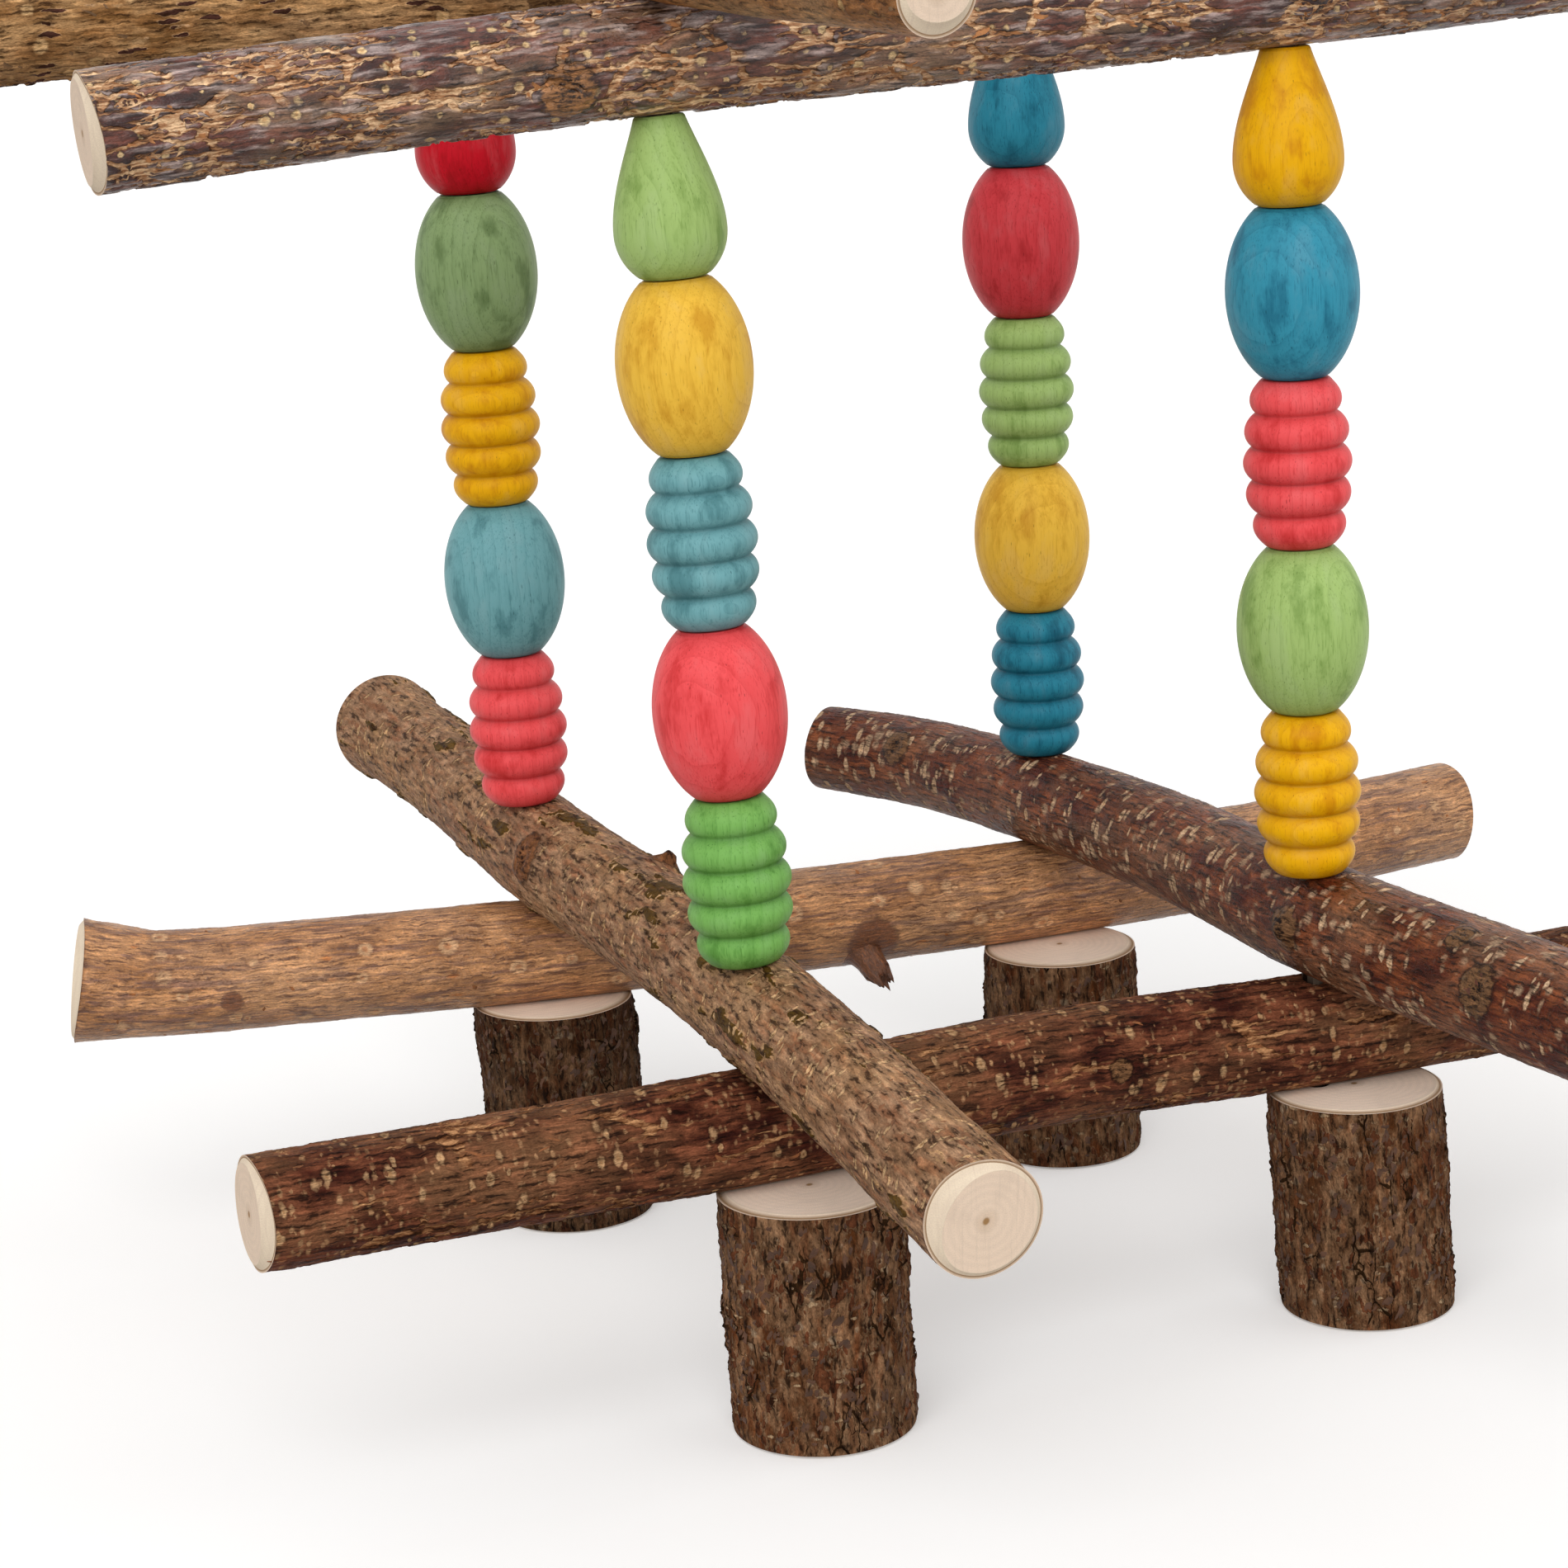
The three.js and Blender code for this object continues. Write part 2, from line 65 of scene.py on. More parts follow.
MM = 0.001
TOWER_BODY = "tower"
UP = np.array([0.0, 0.0, 1.0])
CORNERS = ("front_left", "front_right", "back_left", "back_right")

# Gap left between pieces that touch, and the flats cut for what sits on a branch
SEAT_GAP = 0.3 * MM
BEAD_SEAT_RADIUS = 9.3 * MM
PEAR_SEAT_RADIUS = 7.5 * MM
WASHER_SEAT_RADIUS = 5.6 * MM

# Holes that the rod passes in a foot, and the pocket that hides the lower nut
FOOT_BORE_RADIUS = 2.95 * MM
FOOT_POCKET_RADIUS = 5.6 * MM
FOOT_POCKET_DEPTH = 9 * MM

# Depth of a bevel over its width, and the height of a bead's fullest rib over its length
BEVEL_SLOPE = 0.75
FULLEST_RIB = 0.49

# Thickness of a loose curl, and how far apart the barks lie in the noise, in millimetres
CURL_THICKNESS = 0.16
PATTERN_STEP = np.array([300.0, 40.0, 70.0])
TWIN_STEP = 90.0

# Distance between the points of a skin, and the sides of a bead: for trials, and for good
BRANCH_STEPS = (1.3 * MM, 0.62 * MM)
FOOT_STEPS = (1.2 * MM, 0.55 * MM)
BEAD_SIDES = (40, 96)


# Values that a user would change


def a_number(default, description, least=0.0):
    """A plain number, or a length in millimetres."""
    return bpy.props.FloatProperty(default=default, description=description, min=least)


def a_share(default, description):
    """A share from 0 to 1."""
    return bpy.props.FloatProperty(
        default=default, description=description, min=0.0, max=1.0, subtype="FACTOR"
    )


def a_length(millimetres, description):
    """A length that is kept in metres."""
    return bpy.props.FloatProperty(
        default=millimetres * MM, description=description, min=0.0, unit="LENGTH"
    )


def a_vector(default, description):
    """A place in metres, or a direction."""
    return bpy.props.FloatVectorProperty(default=default, description=description)


def a_colour(default, description):
    """An sRGB colour, kept as hex text."""
    return bpy.props.StringProperty(default=default, description=description)


class TowerBark(bpy.types.PropertyGroup):
    """One kind of bark: the sizes of its pattern in millimetres, and its colours."""

    wander: a_number(1.6, "How far the pattern's lines wander")
    swell: a_number(0.25, "Height of the broad bumps")
    tone_size: a_number(6.0, "Width of the patches of the two main colours")
    streak_width: a_number(1.1, "Width of the long streaks")
    streak_stretch: a_number(12.0, "Length of a streak over its width")
    fibre_width: a_number(0.8, "Distance between the fine ridges")
    fibre_stretch: a_number(6.0, "Length of a fine ridge over its width")
    fibre_depth: a_number(0.30, "Depth of the fine ridges")
    window_width: a_number(3.0, "Width of the windows in the outer bark")
    window_stretch: a_number(3.5, "Length of a window over its width")
    window_share: a_share(0.0, "How many of the windows there are")
    window_depth: a_number(0.3, "Depth of the windows")
    window_lens: a_share(0.0, "0 for ragged windows, 1 for pointed lenses")
    net_width: a_number(6.0, "Distance between lines of peeling skin")
    net_stretch: a_number(3.4, "Length of the net's eyes over their width")
    net_line: a_number(0.1, "Width of the lines over the net's width")
    net_share: a_share(0.0, "How much of the branch the net covers")
    net_rise: a_number(0.35, "Height of the net, or depth below 0", least=-1.0)
    spot_gap: a_number(5.0, "Distance between lenticels")
    spot_radius: a_number(0.24, "Radius of the lenticels over their gap")
    spot_stretch: a_number(1.0, "Length along the branch over width")
    spot_share: a_share(0.6, "How many of the lenticels there are")
    spot_rise: a_number(0.12, "Height of the lenticels")
    fleck_gap: a_number(3.0, "Distance between flecks")
    fleck_radius: a_number(0.3, "Radius of the flecks over their gap")
    fleck_stretch: a_number(1.0, "Length along the branch over width")
    fleck_share: a_share(0.4, "How many of the flecks there are")
    curl_gap: a_number(12.0, "Distance between loose curls of bark")
    curl_length: a_number(4.0, "Length of a loose curl")
    curl_width: a_number(1.0, "Width of a loose curl")
    curl_lift: a_number(0.6, "How far a curl's ends stand off")
    curl_on_net: a_share(0.0, "1 keeps the curls to the net")
    seed: bpy.props.IntProperty(description="Picks another pattern", default=0)
    gloss: a_share(0.58, "Roughness of the bark's surface")
    sheen: a_share(0.06, "Strength of the bark's reflections")
    light: a_colour("#8d6a55", "The lighter main colour")
    dark: a_colour("#5f4034", "The darker main colour")
    streak: a_colour("#4a3029", "Colour of the long streaks")
    # Dark marks round lenticels and in knots, and painted shade deep between the ridges
    crack_and_shade: a_colour("#2a1710", "Colour deep between the ridges")
    window: a_colour("#5a4c2a", "Colour in the windows")
    rim: a_colour("#c8a880", "Colour of the thin edges round windows")
    net: a_colour("#a5683a", "Colour of the net")
    spot: a_colour("#c79d70", "Colour of the lenticels")
    core: a_colour("#b07a48", "Colour in a lenticel's middle")
    fleck: a_colour("#ab8a6c", "Colour of the flecks")
    knot: a_colour("#7a5233", "Colour of knots and scars")
    curl: a_colour("#9a6136", "Colour of the loose curls")


class TowerWood(bpy.types.PropertyGroup):
    """Sizes and colours of the sawn ends."""

    bark_thickness: a_length(0.55, "Bark seen edge-on at a cut")
    bevel: a_length(0.9, "Least width of the bevel round a cut")
    wide_bevel: a_length(2.0, "Width that the bevel gains on one side")
    face: a_colour("#f3dac2", "Colour of a sawn face")
    # painted light: paler than the sawn face, offsetting the shade of the branch lying over a
    # foot's top
    lit_log_face: a_colour("#fde6d1", "Colour of a foot's sawn top")
    bevel_colour: a_colour("#efdcc2", "Colour of the bevel")
    pith: a_colour("#a27b4e", "Colour of the pith")
    rim: a_colour("#8d6a42", "Colour of the bark's inner edge")


class TowerBeads(bpy.types.PropertyGroup):
    """Sizes of the turned beads at their nominal grade, and the colours of the dyes."""

    end_radius: a_length(6.9, "Radius of the flat ends that meet")
    bore_radius: a_length(2.95, "Radius of the hole for the rod")
    egg_radius: a_length(14, "Largest radius of an egg bead")
    egg_length: a_length(35.6, "Length of an egg bead")
    rib_count: bpy.props.IntProperty(description="Ribs of a ribbed bead", default=5)
    ribbed_length: a_length(35.6, "Length of a ribbed bead")
    rib_radius: a_length(11.45, "Radius of the fullest rib")
    rib_fall: a_length(11.5, "How fast the ribs shrink towards the ends")
    groove_depth: a_length(2.2, "Depth of the grooves between ribs")
    pear_radius: a_length(11.5, "Largest radius of a pear bead")
    pear_top_radius: a_length(5.1, "Radius of a pear bead's upper end")
    pear_length: a_length(32.3, "Length of a pear bead")
    pear_widest: a_share(0.285, "Height of the widest place over the length")
    cherry: a_colour("#f8595c", "Cherry red dye")
    crimson: a_colour("#d74148", "Crimson dye")
    ruby: a_colour("#ca1024", "Deep red dye")
    deep_blue: a_colour("#3a99b4", "Deep blue dye")
    teal: a_colour("#2c89a2", "Teal dye")
    sky: a_colour("#76aeb4", "Sky blue dye")
    straw: a_colour("#f8c647", "Straw yellow dye")
    gold: a_colour("#f8b90a", "Golden yellow dye")
    leaf: a_colour("#7eb85d", "Leaf green dye")
    apple: a_colour("#aac877", "Pale apple green dye")
    sage: a_colour("#8ca570", "Sage green dye")


class TowerHardware(bpy.types.PropertyGroup):
    """The steel parts that show on the upper deck."""

    nut_across_flats: a_length(8, "Width of a cap nut")
    flats_height: a_length(4.5, "Height of a cap nut's hexagon")
    washer_edge: a_length(0.2, "Rounding of a washer's edge")
    steel: a_colour("#c3c6c9", "Colour of the zinc-plated steel")
    # Dark, so that the rods, which show only in narrow gaps between pieces, give those gaps a
    # painted shade
    rod: a_colour("#3d332b", "Colour of the oiled rods")


class TowerStage(bpy.types.PropertyGroup):
    """Camera, lamps, floor and background."""

    camera_place: a_vector((-0.3286, -0.8010, 0.3377), "Where the photograph was taken from")
    camera_right: a_vector((0.9315, -0.3601, -0.0506), "Direction of the picture's right")
    camera_back: a_vector((-0.3379, -0.9087, 0.2451), "Direction from the scene to the camera")
    lens: a_number(91.69, "Focal length on a 36 mm sensor")
    floor: a_colour("#faf9f8", "Colour of the floor")
    floor_bounce: a_colour("#b3b0ac", "Colour of the light that the floor throws back")
    floor_lift: a_number(0.22, "Brightness added to the floor for the camera alone")
    floor_size: a_length(60000, "Side of the square floor")
    sky_strength: a_number(0.58, "Even light from all round")
    key_strength: a_number(1.5, "Wide soft light from above, the front and the left")
    fill_strength: a_number(0.5, "Wide soft light from the right")


# A bark's colours, and the sizes that its runs of numbers stand for, in order
BARK_COLOURS = (
    "light", "dark", "streak", "crack_and_shade", "window", "rim", "net", "spot", "core", "fleck", "knot",
    "curl",
)
RUNS = {
    "streaks": ("streak_width", "streak_stretch"),
    "fibres": ("fibre_width", "fibre_stretch", "fibre_depth"),
    "windows": ("window_width", "window_stretch", "window_share", "window_depth", "window_lens"),
    "nets": ("net_width", "net_stretch", "net_line", "net_share", "net_rise"),
    "spots": ("spot_gap", "spot_radius", "spot_stretch", "spot_share", "spot_rise"),
    "flecks": ("fleck_gap", "fleck_radius", "fleck_stretch", "fleck_share"),
    "curls": ("curl_gap", "curl_length", "curl_width", "curl_lift", "curl_on_net"),
}
CURL_SIZES = RUNS["curls"]
PATTERN_SIZES = ("wander", "swell", "tone_size") + sum(list(RUNS.values())[:-1], ())


def bark_values(colours, **sizes):
    """A bark's values by property. What isn't given keeps the group's default."""
    values = dict(zip(BARK_COLOURS, ("#" + colour for colour in colours.split())))
    for name, given in sizes.items():
        values.update(zip(RUNS[name], given) if name in RUNS else {name: given})
    return values


BARKS = {
    "tan_bark": bark_values(
        "dda06b b07848 745048 6b4028 5a4c2a d9ab80 a5683a e0b184 c2713a c67c45 85502d ac6b3a",
        streaks=(1.2, 14), fibres=(0.6, 10, 0.26), spots=(7.5, 0.27, 1.1),
        flecks=(2.4, 0.26, 3, 0.35), curls=(22, 2.4), gloss=0.34, sheen=0.4, seed=1,
    ),
    "dark_bark": bark_values(
        "8a5138 451e14 331410 160704 5a4c2a bb8a60 8f5a38 c79e74 ae7d50 bd9068 8a6242 93592f",
        streaks=(1.3, 9), fibres=(0.8, 9, 0.5), nets=(7.5, 5, 0.055, 0.65, 0.55),
        spots=(5.4, 0.34, 0.55, 0.5), flecks=(2.7, 0.45, 0.6, 0.9), curls=(7.5, 5.5, 0.7, 0.9),
        tone_size=5, seed=2,
    ),
    "grey_bark": bark_values(
        "b48c6c 8b664a 976142 2f170a 5d431a cb9f70 a5683a dcb487 a9733c c6a27a 8a5836 8f5d3a",
        streaks=(1.8, 5), fibres=(1.2, 4, 0.4), windows=(5, 3.4, 0.6, 0.5, 0.15),
        spots=(4.2, 0.36, 0.4, 0.55, 0.25), flecks=(2.8, 0.34, 1.3, 0.3),
        curls=(8, 2.4, 0.9, 0.8), tone_size=5, seed=3,
    ),
    "red_bark": bark_values(
        "93512f 541f10 3d150b 150602 5a4c2a b08a68 a5683a dcb995 b78c60 c3a283 866040 6f3f2a",
        fibres=(0.7, 8), spots=(5.4, 0.42, 0.46), flecks=(3.4, 0.48, 1.1, 0.9), curls=(12, 2.4),
        gloss=0.4, sheen=0.15, seed=4,
    ),
    "olive_bark": bark_values(
        "cc9e6c 9b6c3f 73502b 3b2211 4e2f26 d6ad84 a5683a dcb27f b58a55 cfa677 84603c 84603c",
        fibres=(0.9, 7, 0.5), windows=(1.7, 2.8, 0.66, 0.5, 0.9), spots=(7, 0.24, 1, 0.5),
        flecks=(3, 0.3, 3), curls=(16,), seed=5,
    ),
    # its pale grey streaks are partly silvery bloom and partly a painted sheen on the glossy skin
    "peeling_bark": bark_values(
        "80493a 36120c c6b0aa 1f0a06 5a4c2a e8c196 c48350 ecc994 c7925a b98d70 b37c4c c0814e",
        streaks=(1.8, 5), fibres=(0.8, 8, 0.26), nets=(3.7, 3.4, 0.1, 0.8, 0.6),
        spots=(3.6, 0.28, 1, 0.6, 0.2), flecks=(3, 0.3, 3, 0.3), curls=(5.4, 4, 0.9, 0.8, 1),
        gloss=0.28, sheen=0.4, seed=6,
    ),
    "pale_bark": bark_values(
        "b78150 8c5a31 734a28 44280f 5a4c2a c8a880 a5683a c4a070 ad8752 b08c60 86623a 8a6742",
        fibres=(0.8, 6, 0.2), spots=(6, 0.2, 1, 0.4), flecks=(3, 0.3, 3, 0.2), curls=(26,),
        gloss=0.5, seed=7,
    ),
    "foot_bark": bark_values(
        "9c7454 593319 6b3719 1d0c04 6b3f28 97795c 33200f b89a78 a2835f ab9176 8e7355 5f3e2a",
        streaks=(2.2, 4), fibres=(1.1, 3.6, 1), windows=(3, 2.2, 0.6),
        nets=(3.6, 3.4, 0.035, 0.62, -0.5), spots=(4, 0.3, 0.4, 0.25),
        flecks=(2.6, 0.4, 1.2, 0.7), curls=(4, 3, 1.5, 0.5), swell=0.6, tone_size=4, gloss=0.72,
        seed=8,
    ),
}

# Which bark each branch wears, and the way the wide side of the bevel faces at its two ends,
# in degrees round the branch from its top
BRANCHES = {
    "lower_back_rail": ("tan_bark", (60, 120)),
    "lower_front_rail": ("dark_bark", (90, 60)),
    "lower_left_cross_rail": ("grey_bark", (300, 200)),
    "lower_right_cross_rail": ("red_bark", (80, 300)),
    "upper_back_rail": ("olive_bark", (90, 200)),
    "upper_front_rail": ("peeling_bark", (110, 40)),
    "upper_left_cross_rail": ("pale_bark", (180, 20)),
    "upper_right_cross_rail": ("pale_bark", (150, 320)),
}

# Knots, scars and buds on a branch, in millimetres: place along it, degrees round it from its top,
# size, rise and the dip in its middle
MARKS = {
    "lower_back_rail": ((190, 112, 7.5, 1.2, 0.6), (36, 100, 3, 0.5, 0.3)),
    "lower_left_cross_rail": (
        (229, -66, 7.0, 2.0, 1.6), (188, 34, 4.5, 2.2, -0.8), (120, 75, 3.5, 1.2, -0.4),
    ),
    "lower_right_cross_rail": (
        (336, -57, 5.5, 1.3, 1.3), (79, -73, 6.5, 1.0, 1.4), (146, -84, 6.0, 2.0, -1.2),
        (92, -30, 4, 0.9, 0.5),
    ),
    "upper_front_rail": ((91.6, 109, 7.0, 1.6, 1.0), (250, 80, 5.5, 1.4, 0.8)),
    "upper_back_rail": ((140, 90, 6.0, 1.4, 1.0),),
    "lower_front_rail": ((189, 85, 3.2, 0.7, 0.5), (318, 75, 4.5, 1.0, 0.8)),
    "upper_left_cross_rail": ((210, 250, 4.5, 1.2, 0.7),),
    "upper_right_cross_rail": ((120, 120, 4.5, 1.2, 0.7), (260, 200, 4.0, 1.0, 0.6)),
}

# The broken side twig: the branch, its root in millimetres along it, its slant, radius and reach
TWIG = ("lower_back_rail", 185.5, (0.25, -0.8, -0.7), 3.3, 21.0)
# Where the twig's rings start, in millimetres from the branch's middle
TWIG_ROOT = 11.0

# How bright each foot's bark is: partly a darker bark, partly painted shadow, most on the back feet
FOOT_TONE_AND_SHADOW = {"front_left": 1.0, "front_right": 0.95, "back_left": 0.5, "back_right": 0.78}

# Dye of each bead from the bottom of its column up
BEAD_DYES = {
    "front_left": ("leaf", "cherry", "sky", "straw", "apple"),
    "front_right": ("gold", "apple", "cherry", "deep_blue", "gold"),
    "back_left": ("cherry", "sky", "gold", "sage", "ruby"),
    "back_right": ("teal", "straw", "apple", "crimson", "teal"),
}
BEAD_KINDS = ("ribbed", "egg", "ribbed", "egg", "pear")

# What the pattern gives, for relief and colour alike
PATTERN_OUTPUTS = (
    "Tone", "Streak", "Fibre", "Window", "Rim", "Net", "Lenticel", "Core", "Halo", "Fleck",
    "Speck", "Height",
)


# Colours and nodes


def linear(text):
    """sRGB hex text as a linear RGBA tuple."""
    parts = [int(text[i:i + 2], 16) / 255 for i in (1, 3, 5)]
    bent = [p / 12.92 if p <= 0.04045 else ((p + 0.055) / 1.055) ** 2.4 for p in parts]
    return (*bent, 1.0)


def changed(colour, gain, power=1.0, lift=0.0):
    """A linear colour with its three parts raised to a power, multiplied and lifted."""
    return tuple(part**power * gain + lift for part in colour[:3]) + (1.0,)


class Value:
    """A node's output. A sum with it adds a maths node to its tree."""

    def __init__(self, socket):
        self.socket = socket
        self.tree = socket.id_data

    def __add__(self, other):
        return maths("ADD", self, other)

    def __sub__(self, other):
        return maths("SUBTRACT", self, other)

    def __mul__(self, other):
        return maths("MULTIPLY", self, other)

    def __truediv__(self, other):
        return maths("DIVIDE", self, other)


def add(tree, kind, inputs=None, **settings):
    """Adds a node, sets its settings, and links or fills its inputs by name or number."""
    made = tree.nodes.new(kind)
    for name, value in settings.items():
        setattr(made, name, value)
    for key, value in (inputs or {}).items():
        if isinstance(value, Value):
            tree.links.new(value.socket, made.inputs[key])
        else:
            made.inputs[key].default_value = value
    return made


def output(tree, kind, inputs=None, out=0, **settings):
    """Adds a node and returns one of its outputs."""
    return Value(add(tree, kind, inputs, **settings).outputs[out])


def outputs(made):
    """A node's outputs by name."""
    return {socket.name: Value(socket) for socket in made.outputs}


def sockets(tree, in_out, kind, *names):
    """Gives a node group inputs or outputs of one kind."""
    for name in names:
        tree.interface.new_socket(name, in_out=in_out, socket_type="NodeSocket" + kind)


def combined(kind, terms, **settings):
    """A node whose first inputs are the terms, in the tree of the first Value among them."""
    tree = next(term.tree for term in terms if isinstance(term, Value))
    return output(tree, kind, dict(enumerate(terms)), **settings)


def maths(operation, *terms):
    """One operation on up to three numbers."""
    return combined("ShaderNodeMath", terms, operation=operation)


def scaled(value, by, plus):
    """value times by, plus another number."""
    return maths("MULTIPLY_ADD", value, by, plus)


def highest(first, *others):
    """The largest of some numbers."""
    return maths("MAXIMUM", first, highest(*others)) if others else first


def vector(operation, *terms, out=0):
    """One operation on vectors."""
    return combined("ShaderNodeVectorMath", terms, out=out, operation=operation)


def xyz(*parts):
    """A vector from its parts."""
    return combined("ShaderNodeCombineXYZ", parts)


def split(place):
    """The three parts of a vector or colour."""
    return [Value(part) for part in add(place.tree, "ShaderNodeSeparateXYZ", {0: place}).outputs]


def times(place, by):
    """A vector or colour times a number."""
    return output(place.tree, "ShaderNodeVectorMath", {0: place, "Scale": by}, operation="SCALE")


def between(share, first, second):
    """Mixes two numbers."""
    return output(share.tree, "ShaderNodeMix", {0: share, 2: first, 3: second}, data_type="FLOAT")


def layered(colour, *layers):
    """A colour with others laid over it in turn, each by its share."""
    for share, over in layers:
        inputs = {0: share, 6: colour, 7: over}
        colour = output(share.tree, "ShaderNodeMix", inputs, 2, data_type="RGBA")
    return colour


def ramp(value, low, high):
    """A smooth step from 0 at low to 1 at high."""
    ranges = {"Value": value, "From Min": low, "From Max": high}
    return output(
        value.tree, "ShaderNodeMapRange", ranges, "Result", interpolation_type="SMOOTHSTEP"
    )


def noise(place, detail, roughness=0.5, scale=1.0, out="Fac"):
    """A plain noise, from 0 to 1."""
    inputs = {"Vector": place, "Scale": scale, "Detail": detail, "Roughness": roughness}
    return output(place.tree, "ShaderNodeTexNoise", inputs, out)


def mapped(place, scale, turn=0.0):
    """The place turned about Z and scaled."""
    inputs = {"Vector": place, "Rotation": (0, 0, turn), "Scale": scale}
    return output(place.tree, "ShaderNodeMapping", inputs)


def stretched(place, width, stretch):
    """The place measured in cells that are width across and stretch times that along the branch."""
    along = output(place.tree, "ShaderNodeMath", {0: width, 1: stretch}, operation="MULTIPLY")
    return vector("DIVIDE", place, xyz(along, width, width))


def wander(place, size, reach):
    """The place, pushed about by a noise of that size."""
    push = vector("SUBTRACT", noise(place, 2.0, scale=1 / size, out="Color"), (0.5, 0.5, 0.5))
    return vector("ADD", place, times(push, reach))


def cells(place, share):
    """Round cells: their distance, a random number for each, and 1 on the share that is kept."""
    found = outputs(add(place.tree, "ShaderNodeTexVoronoi", {"Vector": place, "Scale": 1.0}))
    chance, other, _ = split(found["Color"])
    return found["Distance"], chance, maths("LESS_THAN", other, share)


def net_distance(place, scale):
    """The distance to the nearest line of a net."""
    inputs = {"Vector": place, "Scale": scale}
    return output(
        place.tree, "ShaderNodeTexVoronoi", inputs, "Distance", feature="DISTANCE_TO_EDGE"
    )


def bark_pattern(place, size):
    """The bark's pattern from a place in millimetres on the straightened branch: X runs along it.

    Works in shader and geometry trees alike, so that relief and colour agree.
    """
    bent = wander(place, 11.0, size["wander"])
    frayed = wander(bent, 2.2, 1.1)
    crumbled = wander(place, 0.9, 1.0)

    tone = ramp(noise(stretched(frayed, size["tone_size"], 2.0), 5.0, 0.62), 0.36, 0.64)
    streaks = noise(stretched(bent, size["streak_width"], size["streak_stretch"]), 4.0, 0.55)
    streak = ramp(streaks, 0.47, 0.66)
    fibre = noise(stretched(frayed, size["fibre_width"], size["fibre_stretch"]), 3.0, 0.6)

    # a window is a ragged patch of noise, or a lens that tapers to a point at both ends: its
    # width falls with the square of the way along it
    where = stretched(frayed, size["window_width"], size["window_stretch"])
    middle = output(
        where.tree, "ShaderNodeTexVoronoi", {"Vector": where, "Scale": 0.6}, "Position"
    )
    along, left, up = split(vector("SUBTRACT", where, middle))
    flank = vector("LENGTH", xyz(0.0, left, up), out="Value")
    lens = scaled(flank + along * along * 0.8, -0.5, 0.75)
    level = between(size["window_lens"], noise(where, 3.0), lens)
    # the level above which about that share of the surface lies, none of it at 0
    edge = scaled(size["window_share"], -0.36, 0.8)
    window = ramp(level, edge, edge + 0.015)
    rim = ramp(level, edge - 0.035, edge - 0.005) - window

    # coarse strands of peeling skin, and finer threads where it is thickest
    where = stretched(frayed, size["net_width"], size["net_stretch"])
    line = scaled(noise(stretched(bent, 2.0, 2.0), 2.0), 2.4, -0.2) * size["net_line"]
    strands = ramp(net_distance(where, 1.0), line, line * 0.6)
    thin = line * 0.8
    threads = ramp(net_distance(where, 2.3), thin, thin * 0.6)
    cover = noise(stretched(frayed, 9.0, 2.2), 3.0)
    limit = scaled(size["net_share"], -0.45, 0.8)
    covered = ramp(cover, limit, limit + 0.05)
    finer = ramp(cover, limit + 0.11, limit + 0.16)
    net = highest(strands * covered, threads * finer)

    where = stretched(crumbled, size["spot_gap"], size["spot_stretch"])
    distance, chance, kept = cells(where, size["spot_share"])
    reach = scaled(chance, 0.9, 0.45) * size["spot_radius"]
    spot = ramp(distance, reach, reach * 0.55) * kept
    inner = reach * 0.5
    core = ramp(distance, inner, inner * 0.3) * kept
    halo = ramp(distance, reach * 1.5, reach * 1.05) * kept - spot

    where = stretched(crumbled, size["fleck_gap"], size["fleck_stretch"])
    distance, chance, kept = cells(where, size["fleck_share"])
    reach = scaled(chance, 0.8, 0.4) * size["fleck_radius"]
    clump = ramp(noise(stretched(place, 8.0, 1.6), 2.0), 0.38, 0.52)
    fleck = ramp(distance, reach, reach * 0.4) * kept * clump
    speck = noise(stretched(place, 0.35, 1.6), 3.0)

    height = (noise(stretched(place, 6.0, 2.0), 2.0) - 0.5) * (size["swell"] * 3.0)
    for layer, rise in (
        ((fibre - 0.5) * 2.0, size["fibre_depth"]),
        (window, size["window_depth"] * -1.0),
        (net, size["net_rise"]),
        (spot, size["spot_rise"]),
        (fleck, 0.1),
        (speck - 0.5, 0.2),
    ):
        height = scaled(layer, rise, height)
    made = (tone, streak, fibre, window, rim, net, spot, core, halo, fleck, speck, height)
    return dict(zip(PATTERN_OUTPUTS, made))


def pattern_group(kind):
    """The bark pattern as a node group for shaders or for geometry."""
    tree = bpy.data.node_groups.new("bark_pattern_" + kind, kind + "NodeTree")
    sockets(tree, "INPUT", "Vector", "Place")
    sockets(tree, "INPUT", "Float", *PATTERN_SIZES)
    sockets(tree, "OUTPUT", "Float", *PATTERN_OUTPUTS)
    given = outputs(add(tree, "NodeGroupInput"))
    add(tree, "NodeGroupOutput", bark_pattern(given["Place"], given))
    return tree


# Materials


def material_named(name, draw, *values):
    """The material of that name. If it is new, draw fills its node tree from the values."""
    made = bpy.data.materials.get(name)
    if made is None:
        made = bpy.data.materials.new(name)
        made.use_nodes = True
        made.node_tree.nodes.clear()
        draw(made.node_tree, *values)
    return made


def attribute(tree, name, out="Fac"):
    """A mesh attribute, read in a material."""
    return output(tree, "ShaderNodeAttribute", out=out, attribute_name=name)


def surface(tree, colour, roughness, others, relief=None, strength=0.7, distance=1.0):
    """Ends a material with a Principled shader, and a bump where there is a relief."""
    inputs = {"Base Color": colour, "Roughness": roughness, **others}
    if relief is not None:
        bump = {"Strength": strength, "Distance": distance, "Height": relief}
        inputs["Normal"] = output(tree, "ShaderNodeBump", bump)
    shader = output(tree, "ShaderNodeBsdfPrincipled", inputs)
    add(tree, "ShaderNodeOutputMaterial", {"Surface": shader})


